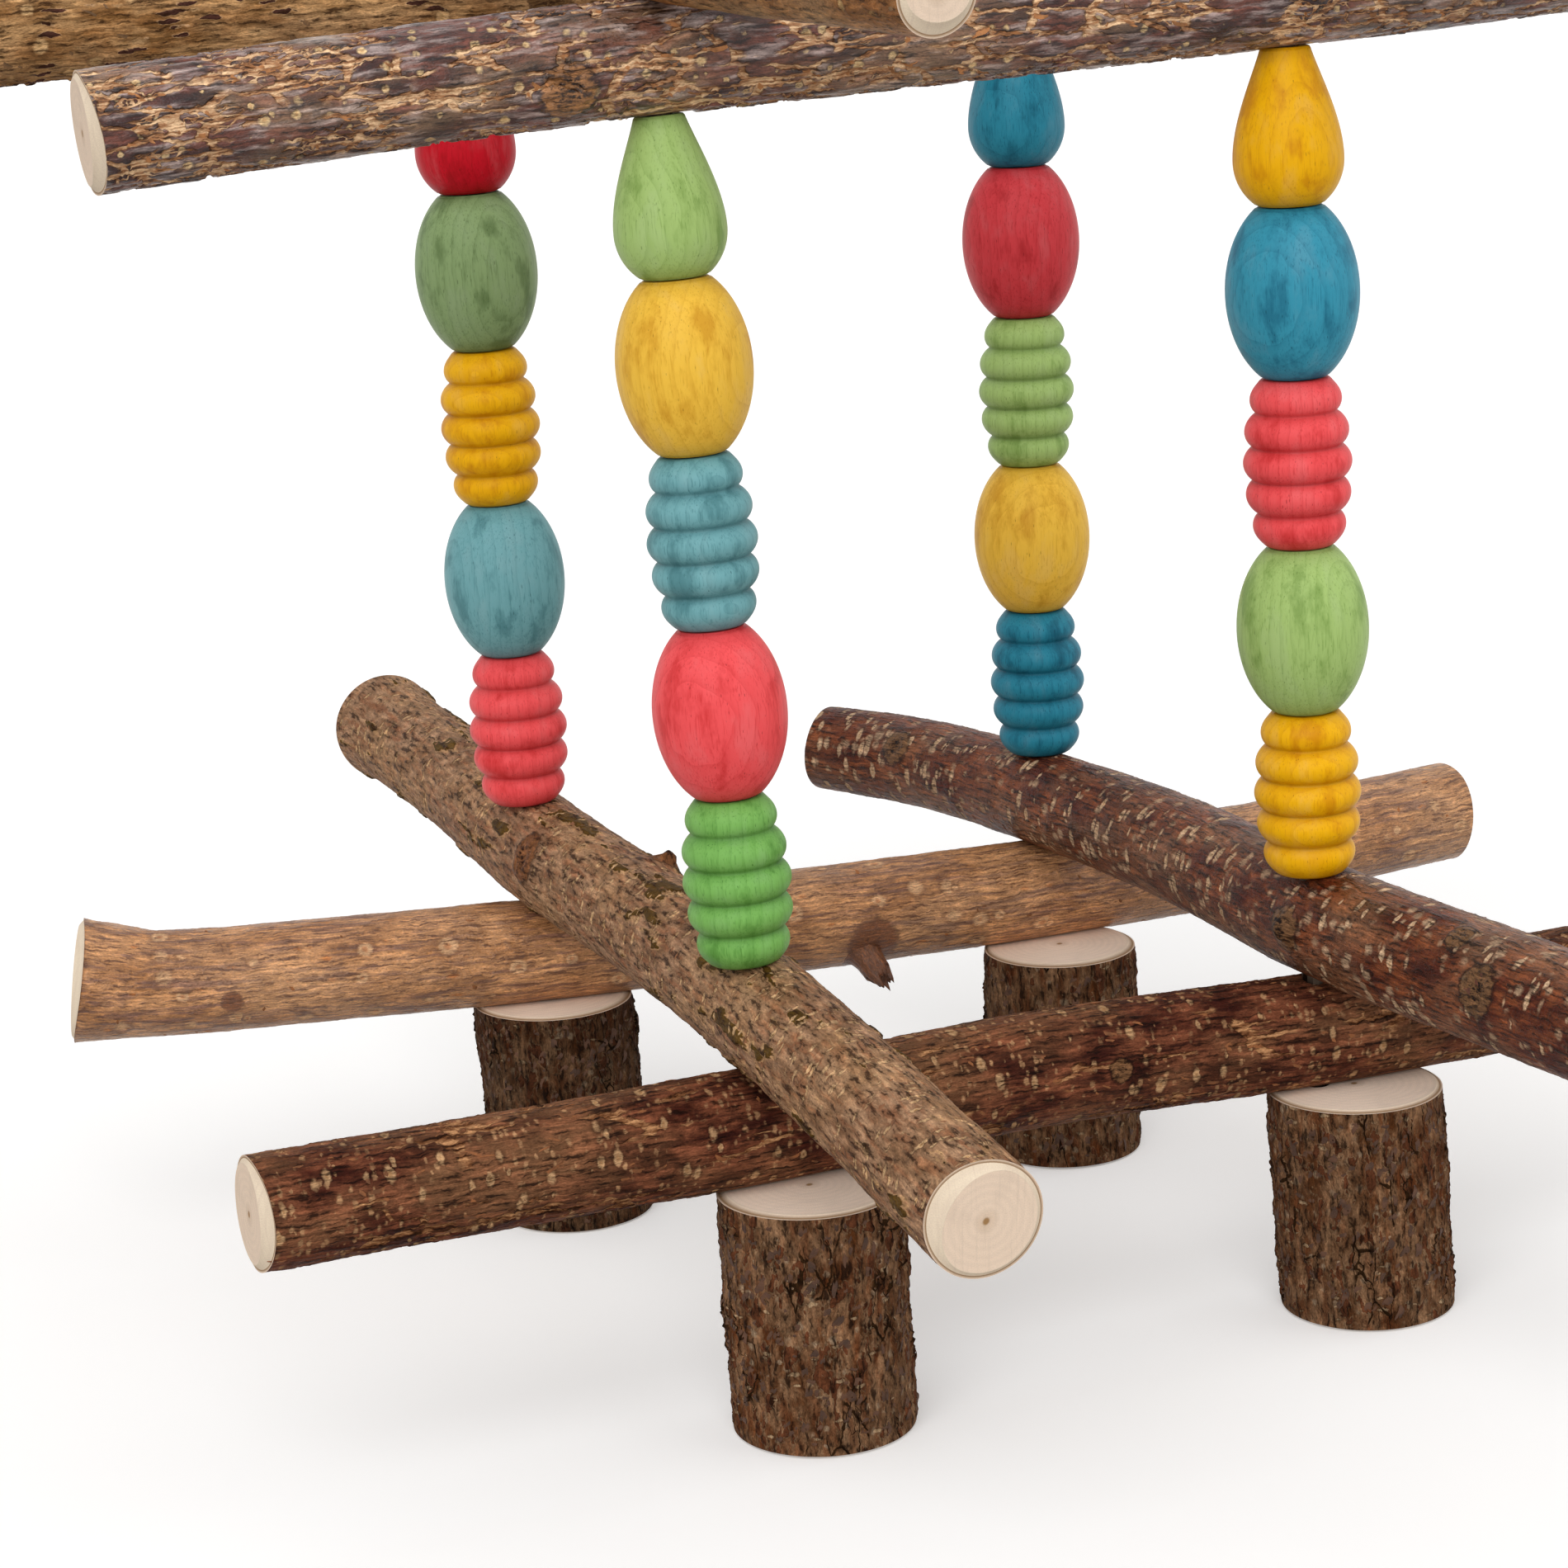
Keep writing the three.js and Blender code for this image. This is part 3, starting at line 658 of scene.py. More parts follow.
def draw_bark(tree, look, group):
    """Dry bark on a cut branch: two mottled browns, long streaks, fine ridges and lenticels."""
    place, knot = attribute(tree, "bark_place", "Vector"), attribute(tree, "knot")
    sizes = {name: getattr(look, name) for name in PATTERN_SIZES}
    out = outputs(add(tree, "ShaderNodeGroup", {"Place": place, **sizes}, node_tree=group))
    hue = {name: linear(getattr(look, name)) for name in BARK_COLOURS}

    # drifts a little redder and paler over a few centimetres
    drift = ramp(noise(stretched(place, 16.0, 2.0), 2.0), 0.42, 0.68)
    papery = layered(hue["net"], (ramp(out["Fibre"], 0.4, 0.62), hue["rim"]))
    # a knot has a dark rim, paler wood inside it, and a dark middle
    chips = noise(stretched(place, 1.3, 1.6), 4.0, 0.6)
    ragged = scaled(chips - 0.5, 0.9, knot)
    middle = highest(knot * ramp(chips, 0.48, 0.36), ramp(ragged, 0.98, 1.1))
    colour = layered(
        hue["dark"],
        (out["Tone"], hue["light"]),
        (out["Streak"] * 0.75, hue["streak"]),
        (drift * 0.3, hue["rim"]),
        (out["Fleck"] * 0.85, hue["fleck"]),
        (out["Window"], hue["window"]),
        (out["Rim"] * 0.55, hue["rim"]),
        (out["Halo"] * 0.3, hue["crack_and_shade"]),
        (out["Lenticel"] * 0.92, hue["spot"]),
        (out["Core"] * 0.6, hue["core"]),
        (out["Net"], hue["net"] if look.net_rise < 0 else papery),
        (ramp(ragged, 0.12, 0.3) * 0.7, hue["crack_and_shade"]),
        (ramp(ragged, 0.3, 0.5) * 0.85, hue["knot"]),
        (middle, hue["crack_and_shade"]),
        # painted shade: the furrows between the fine ridges get the dark colour
        (ramp(out["Fibre"], 0.48, 0.34) * 0.85, hue["crack_and_shade"]),
    )
    # painted highlight on the fine ridges and painted shade between them, times random specks
    lit = scaled(ramp(out["Fibre"], 0.48, 0.7), 0.6, 0.78)
    # the foot's darkening factor: partly darker bark, partly painted shadow
    painted_light_and_specks = lit * scaled(out["Speck"], 1.0, 0.5) * attribute(tree, "shade")
    dull = highest(out["Net"], out["Lenticel"], out["Fleck"])
    surface(
        tree, times(colour, painted_light_and_specks), scaled(dull, 0.25, look.gloss),
        {"Specular IOR Level": look.sheen}, out["Height"] * MM, 0.9,
    )


def draw_curl(tree, hue):
    """Loose papery bark: its thin edges dry lighter and redder than the bark under it."""
    place = output(tree, "ShaderNodeTexCoord", out="Object")
    # patches of 2.5 mm, about the length of a curl
    patches = noise(place, 3.0, scale=1 / (2.5 * MM))
    fibres = noise(place, 2.0, scale=1 / (0.3 * MM))
    colour = linear(hue)
    shaded = layered(changed(colour, 0.45), (ramp(patches, 0.35, 0.65), colour))
    surface(tree, shaded, 0.8, {}, fibres * (0.15 * MM), 0.8)


def draw_sawn(tree, look, hue):
    """Sawn hazel end grain: pale and dull, with faint rings, saw lines and a brown pith."""
    place = attribute(tree, "sawn_place", "Vector")
    _, left, up = split(place)
    flat = xyz(left, up, 0.0)
    radius = vector("LENGTH", wander(flat, 6.0, 0.9), out="Value")
    # one growth ring is about 1.7 mm
    ring = scaled(maths("SINE", radius * (2 * math.pi / 1.7)), 0.5, 0.5)
    # saw lines run across the face, about 0.7 mm apart
    saw = noise(mapped(flat, (0.06, 1.5, 1.0), 0.5), 3.0)
    fuzz = noise(place, 3.0, scale=4.0)
    stain = noise(place, 2.0, scale=0.16)

    face, pith = linear(hue), linear(look.pith)
    darker = changed(face, 0.78)
    colour = layered(
        face,
        (attribute(tree, "bevel"), linear(look.bevel_colour)),
        (ring * 0.22, darker),
        (ramp(saw, 0.5, 0.75) * 0.4, darker),
        (ramp(stain, 0.5, 0.75) * 0.3, darker),
        (ramp(radius, 3.0, 0.4) * 0.25, pith),
        (ramp(radius, 0.95, 0.45), pith),
        (attribute(tree, "rim"), linear(look.rim)),
    )
    surface(tree, times(colour, scaled(fuzz, 0.3, 0.85)), 0.8, {}, (saw + fuzz) * (0.12 * MM))


def draw_dyed(tree, hue):
    """Turned beech in a water dye: satin, with growth rings, short dark pores and darker ends."""
    place = attribute(tree, "grain_place", "Vector")
    bent = wander(place, 12.0, 3.0)
    x, y, _ = split(bent)
    # growth rings about 2.4 mm apart, round a centre 26 mm off the bead's axis
    radius = vector("LENGTH", xyz(x + 26.0, y), out="Value")
    ring = maths("POWER", maths("FRACT", radius / 2.4), 5.0)
    # pores 0.3 mm wide and 2 mm long, wider than real ones so that they show
    distance, chance, kept = cells(mapped(place, (1.5, 1.5, 0.34)), 0.5)
    slim = scaled(chance, 0.14, 0.08)
    pore = ramp(distance, slim, slim * 0.5) * kept
    fibre = noise(mapped(place, (3.0, 3.0, 0.16)), 3.0, 0.6)
    patch = noise(mapped(bent, (0.16, 0.16, 0.07)), 4.0, 0.6)

    light = linear(hue)
    deep = changed(light, 0.65, 1.8)
    colour = layered(
        light,
        (ramp(patch, 0.5, 0.7) * 0.4, changed(light, 0.85, lift=0.1)),
        (ramp(patch, 0.5, 0.32) * 0.55, deep),
        (ring * 0.24, deep),
        (ramp(fibre, 0.52, 0.7) * 0.4, deep),
        (pore * 0.5, changed(deep, 0.5)),
        # darker ends where the dye soaks into end grain, and painted shade deep in the grooves
        (attribute(tree, "soak") * 0.9, changed(light, 0.36, 1.4)),
    )
    surface(tree, colour, 0.42, {"Specular IOR Level": 0.12}, (fibre - pore) * (0.06 * MM))


def draw_steel(tree, hue):
    """Steel, plated bright, or dark for the rods as painted shade in the gaps where they show:
    cloudy, with faint scratches.
    """
    place = output(tree, "ShaderNodeTexCoord", out="Object")
    clouds = ramp(noise(place, 3.0, scale=1 / (3 * MM)), 0.4, 0.65)
    scratches = noise(mapped(place, (4000, 900, 500)), 2.0)
    colour = layered(linear(hue), (clouds, changed(linear(hue), 0.82)))
    roughness = scaled(scratches, 0.25, 0.2)
    surface(tree, colour, roughness, {"Metallic": 1.0}, scratches, 0.3, 0.02 * MM)


def seen(tree):
    """1 for the camera's rays, also in a reflection or through glass, and 0 for all others."""
    rays = outputs(add(tree, "ShaderNodeLightPath"))
    return highest(*(rays[f"Is {kind} Ray"] for kind in ("Camera", "Glossy", "Transmission")))


def draw_floor(tree, look):
    """Matt paint: an even pale ground, darker in the light that it throws back on the tower."""
    mottle = noise(output(tree, "ShaderNodeTexCoord", out="Object"), 2.0, scale=6.0)
    base, direct = linear(look.floor), seen(tree)
    pale = layered(base, (mottle, changed(base, 0.985)))
    others = {
        "Specular IOR Level": 0.2,
        "Emission Color": (1.0, 1.0, 1.0, 1.0),
        "Emission Strength": direct * look.floor_lift,
    }
    surface(tree, layered(linear(look.floor_bounce), (direct, pale)), 0.9, others)


# Reading the frame


def node_points(name):
    """A CAD node's vertices and triangles."""
    mesh = frame["nodes"][name].data
    mesh.calc_loop_triangles()
    points = np.zeros(len(mesh.vertices) * 3)
    mesh.vertices.foreach_get("co", points)
    corners = np.zeros(len(mesh.loop_triangles) * 3, dtype=int)
    mesh.loop_triangles.foreach_get("vertices", corners)
    return points.reshape(-1, 3), corners.reshape(-1, 3)


def unit(vectors):
    """The vectors at length 1."""
    return vectors / np.linalg.norm(vectors, axis=-1, keepdims=True)


def circle(angle):
    """The points at those angles on a circle of radius 1."""
    return np.column_stack([np.cos(angle), np.sin(angle)])


def standing(point, axis):
    """The matrix that takes the origin to a point, and Z to an axis."""
    spin = Vector((0, 0, 1)).rotation_difference(Vector(axis)).to_matrix().to_4x4()
    return Matrix.Translation(Vector(point)) @ spin


def smoothed(at, known, values, width):
    """Values at new places, by straight lines fitted to the known ones about a width away."""
    offset = known[None, :] - at[:, None]
    weight = np.exp(-0.5 * (offset / width) ** 2)
    total, first, second = weight.sum(1), (weight * offset).sum(1), (weight * offset**2).sum(1)
    plain, tilted = weight @ values, (weight * offset) @ values
    spread = (total * second - first**2)[:, None]
    return (second[:, None] * plain - first[:, None] * tilted) / spread


def sawn_end(points, triangles, run, sign):
    """Middle and radius of the cut at one end of a branch that runs along axis number run."""
    corners = points[triangles]
    normal = np.cross(corners[:, 1] - corners[:, 0], corners[:, 2] - corners[:, 0])
    area = np.linalg.norm(normal, axis=1) / 2
    facing = sign * normal[:, run] / np.maximum(2 * area, 1e-12)
    middle = corners.mean(1)
    near = (sign * middle[:, run] > (sign * points[:, run]).max() - 0.02) & (facing > 0.8)
    # a twelve-sided face has an area of three times its radius squared
    return np.average(middle[near], axis=0, weights=area[near]), math.sqrt(area[near].sum() / 3)


def slice_middle(corners, run, side, at):
    """Middle and half width of the branch where a plane across its run cuts it."""
    height = corners[:, :, run] - at
    found = []
    for a, b in ((0, 1), (1, 2), (2, 0)):
        crossed = height[:, a] * height[:, b] < 0
        share = (height[crossed, a] / (height[crossed, a] - height[crossed, b]))[:, None]
        found.append(corners[crossed, a] * (1 - share) + corners[crossed, b] * share)
    found = np.concatenate(found)
    low, high = found[found[:, side].argmin()], found[found[:, side].argmax()]
    return (low + high) / 2, (high[side] - low[side]) / 2


def branch_line(name, step):
    """A branch's middle line and radii, read from its CAD solid at even steps."""
    points, triangles = node_points(name)
    extent = points.max(0) - points.min(0)
    run = 0 if extent[0] > extent[1] else 1
    side = 1 - run
    first, first_radius = sawn_end(points, triangles, run, -1)
    last, last_radius = sawn_end(points, triangles, run, 1)
    places = np.linspace(first[run] + 1.1 * first_radius, last[run] - 1.1 * last_radius, 60)
    cuts = [slice_middle(points[triangles], run, side, at) for at in places]
    middles = np.array([c[0] for c in cuts])
    halves = np.array([c[1] for c in cuts])
    # a side twig widens a few slices, and these are left out
    usual = np.array([np.median(halves[max(i - 4, 0):i + 5]) for i in range(len(halves))])
    plain = np.abs(halves - usual) < 0.4 * MM
    known = np.concatenate([[first[run]], places[plain], [last[run]]])
    middles = np.vstack([first, middles[plain], last])
    slope = np.gradient(middles[:, side], known)
    turned = 1 / np.sqrt(1 + slope**2)
    ends = first_radius / turned[0], last_radius / turned[-1]
    halves = np.concatenate([[ends[0]], halves[plain], [ends[1]]]) * turned

    dense = np.linspace(known[0], known[-1], 400)
    line = smoothed(dense, known, np.column_stack([middles, halves]), 6 * MM)
    steps = np.linalg.norm(np.diff(line[:, :3], axis=0), axis=1)
    length = np.concatenate([[0], np.cumsum(steps)])
    even = np.linspace(0, length[-1], max(int(length[-1] / step), 2) + 1)
    line = np.column_stack([np.interp(even, length, line[:, i]) for i in range(4)])
    return even, line[:, :3], line[:, 3]


class Contact:
    """Where something touches a branch: a flat cut for it."""

    def __init__(self, point, direction, radius):
        self.point = np.array(point, float)
        self.direction = unit(np.array(direction, float))
        self.radius = radius

    def press(self, points):
        """Moves what is past the flat onto it. Returns the points, and how free each one is."""
        offset = points - self.point
        past = offset @ self.direction
        beside = np.linalg.norm(offset - past[:, None] * self.direction, axis=1)
        under = (beside < self.radius) & (past > 0) & (past < 12 * MM)
        points = points - np.where(under, past, 0)[:, None] * self.direction
        reach = np.maximum(beside - self.radius, np.abs(past) - 1 * MM)
        return points, np.clip(reach / (1.5 * MM), 0, 1)


class Saddle:
    """Where a branch lies over another: it keeps clear of the other's round."""

    def __init__(self, line, radii):
        self.line = line
        self.radii = radii

    def press(self, points):
        """Moves what is inside the other branch out of it. Returns the points and their freedom."""
        free = np.ones(len(points))
        low, high = self.line.min(0) - 0.02, self.line.max(0) + 0.02
        near = np.where(((points > low) & (points < high)).all(1))[0]
        if len(near) == 0:
            return points, free
        points = points.copy()
        for part in np.array_split(near, max(len(near) // 4000, 1)):
            gap = points[part][:, None, :] - self.line[None, ::4, :]
            distance = np.linalg.norm(gap, axis=2)
            nearest = distance.argmin(1)
            least = distance[np.arange(len(part)), nearest]
            out = gap[np.arange(len(part)), nearest] / np.maximum(least, 1e-9)[:, None]
            wanted = self.radii[::4][nearest] + SEAT_GAP
            points[part] += out * np.maximum(wanted - least, 0)[:, None]
            free[part] = np.clip((least - wanted - 0.8 * MM) / (2 * MM), 0, 1)
        return points, free


# Making meshes


def mesh_from(name, points, faces):
    """A mesh from numpy points and faces, shaded smooth."""
    mesh = bpy.data.meshes.new(name)
    mesh.from_pydata(points.tolist(), [], faces)
    mesh.update()
    mesh.polygons.foreach_set("use_smooth", np.ones(len(mesh.polygons), bool))
    return mesh


def set_attribute(mesh, name, kind, values, domain="POINT"):
    """Stores one value or vector for each point or face."""
    made = mesh.attributes.new(name, kind, domain)
    key = "vector" if kind == "FLOAT_VECTOR" else "value"
    made.data.foreach_set(key, np.asarray(values).ravel())


def ring_faces(count, sides, closed):
    """Quads between rings, whose points run so that the faces point outwards.

    With closed true, the last ring joins the first one again.
    """
    faces = []
    around = np.arange(sides)
    beyond = (around + 1) % sides
    for ring in range(count if closed else count - 1):
        here, there = ring * sides, (ring + 1) % count * sides
        quads = [here + around, there + around, there + beyond, here + beyond]
        faces.append(np.column_stack(quads))
    return np.concatenate(faces)


def mark_sharp(mesh, ring_of, sharp_rings):
    """Marks the edges round the given rings as sharp."""
    ends = np.zeros(len(mesh.edges) * 2, dtype=int)
    mesh.edges.foreach_get("vertices", ends)
    first, second = ring_of[ends.reshape(-1, 2)].T
    sharp = (first == second) & np.isin(first, sharp_rings)
    set_attribute(mesh, "sharp_edge", "BOOLEAN", sharp, "EDGE")


def marks_at(name, place, angle, radius):
    """How far the knots lift a ring of a branch, and how much of a knot each of its points is."""
    rise, knot = np.zeros(len(angle)), np.zeros(len(angle))
    for at, turn, size, lift, dip in MARKS.get(name, ()):
        around = (angle - math.radians(turn) + math.pi) % (2 * math.pi) - math.pi
        away = np.hypot(place / MM - at, around * radius / MM) / size
        rise += (lift * np.exp(-((1.25 * away) ** 2)) - dip * np.exp(-((2.6 * away) ** 2))) * MM
        knot = np.maximum(knot, np.clip((1.05 - away) / 0.7, 0, 1))
    return rise, knot


def twig_shell(line, length, step):
    """The stump of a side twig, thicker at its root and torn off at its end."""
    _, at, slant, radius, reach = TWIG
    root = np.array([np.interp(at * MM, length, line[:, i]) for i in range(3)])
    out = unit(np.array(slant))
    across = unit(np.cross(out, UP))
    beside = np.cross(out, across)
    shell = Shell(max(int(2 * math.pi * radius * MM / step), 16))
    angle = shell.angles
    # splinters of uneven length at the torn end, in millimetres
    torn = 1.6 * np.sin(2 * angle + 0.7) + 1.1 * np.sin(5 * angle) + 0.7 * np.sin(11 * angle + 2.0)
    # each ring's height, its radius as a share, and how far it follows the splinters
    heights = np.arange(TWIG_ROOT, reach - 2.5, step / MM)
    rows = [(h, 1.0 + 0.9 * math.exp(-(h - TWIG_ROOT) / 1.6), 0.0) for h in heights]
    rows += [(reach - 2.0, 0.92, 0.5), (reach - 1.0, 0.8, 0.8), (reach, 0.62, 1.0)]
    rows += [(reach - 1.5, 0.45, 0.5), (reach - 2.6, 0.25, 0.2), (reach - 3.0, 0.1, 0.0)]
    for height, size, ragged in rows:
        far = (height + ragged * torn) * MM
        round_part = np.cos(angle)[:, None] * across - np.sin(angle)[:, None] * beside
        points = root + out * far[:, None] + round_part * (radius * size * MM)
        flat = circle(angle) * radius * size
        # the twig's pattern is taken from 500 mm further on
        place = np.column_stack([far / MM + 500.0, flat])
        shell.ring(points, place, freedom=1.0 - ragged, knot=1.0)
    return shell


class Shell:
    """The rings of a piece of branch, collected from one end to the other."""

    def __init__(self, sides):
        self.sides = sides
        self.angles = np.linspace(0, 2 * math.pi, sides, endpoint=False)
        self.points, self.place, self.values, self.cut, self.sharp = [], [], [], [], []

    def ring(
        self, points, place, freedom=0.0, bevel=0.0, rim=0.0, knot=0.0, cut=False, sharp=False
    ):
        """Adds a ring. cut is true where the band after it is sawn wood."""
        number = len(self.points)
        self.points.append(points)
        self.place.append(place)
        columns = [np.broadcast_to(value, self.sides) for value in (freedom, bevel, rim, knot)]
        self.values.append(np.column_stack(columns))
        self.cut.append(cut)
        if sharp:
            self.sharp.append(number)


def frame_along(line):
    """For each point of a line its direction, the upward and the sideways direction across it."""
    along = unit(np.gradient(line, axis=0))
    above = unit(UP - (along @ UP)[:, None] * along)
    return along, above, np.cross(along, above)


def bevel_width(angle, wood, wide, radius):
    """Width of the bevel round a cut, greatest on the side that wide names in degrees."""
    lean = np.maximum(np.cos(angle - math.radians(wide)), 0)
    return wood.bevel + wood.wide_bevel * lean**1.5 * radius / (12 * MM)


def end_rings(shell, middle, out, above, beside, radius, place_x, wood, wide, inwards):
    """The rings of a sawn end: bark edge, bevel and face, from the rim in, or reversed."""
    angle = shell.angles
    bevel = bevel_width(angle, wood, wide, radius)
    drop = bevel * BEVEL_SLOPE
    spoke = np.cos(angle)[:, None] * above + np.sin(angle)[:, None] * beside
    inner = radius - wood.bark_thickness
    face = radius - bevel - wood.bark_thickness
    rows = [
        (inner, -drop, {"rim": 1.0, "cut": True, "sharp": True}),
        (inner - 0.12 * MM, -drop + 0.05 * MM, {"bevel": 1.0, "cut": True}),
        (face, 0.0, {"bevel": 1.0, "cut": True, "sharp": True}),
    ]
    for share in (1.0, 0.8, 0.6, 0.4, 0.22, 0.08):
        rows.append(((face - 0.15 * MM) * share, 0.0, {"cut": True}))
    for size, depth, kinds in rows if inwards else rows[::-1]:
        size, depth = (np.broadcast_to(value, angle.shape)[:, None] for value in (size, depth))
        place = np.column_stack([np.full(len(angle), place_x), circle(angle) * size / MM])
        shell.ring(middle + spoke * size + out * depth, place, **kinds)


def branch_shell(name, step, wood, wide):
    """The plain skin and sawn ends of a branch, and its twig, before its bark gets its relief."""
    length, line, radii = branch_line(name, step)
    along, above, beside = frame_along(line)
    sides = int(2 * math.pi * radii.mean() / step)
    shell = Shell(sides)
    angle = shell.angles
    drops = [bevel_width(angle, wood, wide[end], radii[-end]) * BEVEL_SLOPE for end in (0, 1)]
    end_rings(
        shell, line[0], -along[0], above[0], beside[0], radii[0], 0.0, wood, wide[0], False
    )
    rise_part, side_part = np.cos(angle)[None, :, None], np.sin(angle)[None, :, None]
    spoke = rise_part * above[:, None, :] + side_part * beside[:, None, :]
    for i in range(len(line)):
        # rings near a cut slide back so that they stay behind the bevel
        start = np.clip(drops[0] - length[i], 0, None)
        stop = np.clip(drops[1] - (length[-1] - length[i]), 0, None)
        slide = (start * (1 - i / len(line)) - stop * (i / len(line)))[:, None] * along[i]
        at_rim = i in (0, len(line) - 1)
        rise, knot = marks_at(name, length[i], angle, radii[i])
        points = line[i] + spoke[i] * (radii[i] + rise)[:, None] + slide
        turn = circle(angle) * radii[i] / MM
        place = np.column_stack([np.full(sides, length[i] / MM), turn])
        end_gap = min(length[i], length[-1] - length[i])
        freedom = min(1.0, max(end_gap - 1.0 * MM, 0.0) / (2.5 * MM))
        shell.ring(points, place, freedom, knot=knot, sharp=at_rim, cut=i == len(line) - 1)
    end_rings(
        shell, line[-1], along[-1], above[-1], beside[-1], radii[-1], length[-1] / MM,
        wood, wide[1], True,
    )
    return [shell, twig_shell(line, length, step)] if name == TWIG[0] else [shell]


def shell_parts(shell, first, closed):
    """A shell's points, values, places, faces, sawn faces and ring numbers, its ends closed."""
    points, values, place = (np.concatenate(v) for v in (shell.points, shell.values, shell.place))
    count, sides = len(shell.points), shell.sides
    faces = ring_faces(count, sides, closed)
    cut = np.repeat(shell.cut[:count if closed else count - 1], sides)
    ring_of = np.repeat(np.arange(count), sides)
    faces = faces.tolist()
    if not closed:
        for ring, order in ((0, 1), (count - 1, -1)):
            here = np.arange(ring * sides, (ring + 1) * sides)
            points, place, values = (
                np.vstack([v, v[here].mean(0)]) for v in (points, place, values)
            )
            ring_of = np.append(ring_of, -1)
            hub = len(points) - 1
            faces += [[hub, a, b][::order] for a, b in zip(here, np.roll(here, -1))]
        cut = np.concatenate([cut, np.ones(2 * sides, bool)])
    if first:
        faces = [[corner + first for corner in face] for face in faces]
    return points, values, place, faces, cut, ring_of


def shell_mesh(name, shells, contacts, closed=False):
    """One mesh from shells, pressed against its contacts, with the attributes that they carry."""
    points, values, place, faces, cut, smooth_rings = [], [], [], [], [], []
    first = 0
    for shell in shells:
        made = shell_parts(shell, first, closed)
        points.append(made[0])
        values.append(made[1])
        place.append(made[2])
        faces += made[3]
        cut.append(made[4])
        # only the first shell has sharp rings
        smooth_rings.append(made[5] if first == 0 else np.full(len(made[0]), -1))
        first += len(made[0])
    points, values, place = (np.concatenate(v) for v in (points, values, place))
    for contact in contacts:
        points, free = contact.press(points)
        values[:, 0] *= free
    mesh = mesh_from(name, points, faces)
    set_attribute(mesh, "bark_place", "FLOAT_VECTOR", place)
    for column, key in enumerate(("freedom", "bevel", "rim", "knot")):
        set_attribute(mesh, key, "FLOAT", values[:, column])
    set_attribute(mesh, "sawn", "BOOLEAN", np.concatenate(cut), "FACE")
    mark_sharp(mesh, np.concatenate(smooth_rings), shells[0].sharp)
    return mesh


# Geometry Nodes


def new_tree(name, inputs):
    """A geometry tree with inputs by kind, and what its group input gives, by name."""
    tree = bpy.data.node_groups.new(name, "GeometryNodeTree")
    sockets(tree, "INPUT", "Geometry", "Geometry")
    for kind, names in inputs.items():
        sockets(tree, "INPUT", kind, *names)
    sockets(tree, "OUTPUT", "Geometry", "Geometry")
    return tree, outputs(add(tree, "NodeGroupInput"))


def with_material(geometry, material, **selection):
    """The geometry, all or a selection of it, with a material."""
    inputs = {"Geometry": geometry, "Material": material, **selection}
    return output(geometry.tree, "GeometryNodeSetMaterial", inputs)


def curl_sheet(tree, length, width, lift):
    """One loose curl: a thin sheet that narrows and lifts towards its ends."""
    size = xyz(length, width, CURL_THICKNESS)
    counts = {"Vertices X": 7, "Vertices Y": 3, "Vertices Z": 2}
    sheet = output(tree, "GeometryNodeMeshCube", {"Size": size, **counts})
    x, y, z = split(output(tree, "GeometryNodeInputPosition"))
    reach = x / (length * 0.5)
    bow = reach * reach
    wave = maths("SINE", reach * 3.0) * 0.22
    across = scaled(y, scaled(bow, -0.75, 1.0), wave)
    place = times(xyz(x, across, scaled(bow, lift, z)), MM)
    return output(tree, "GeometryNodeSetPosition", {"Geometry": sheet, "Position": place})


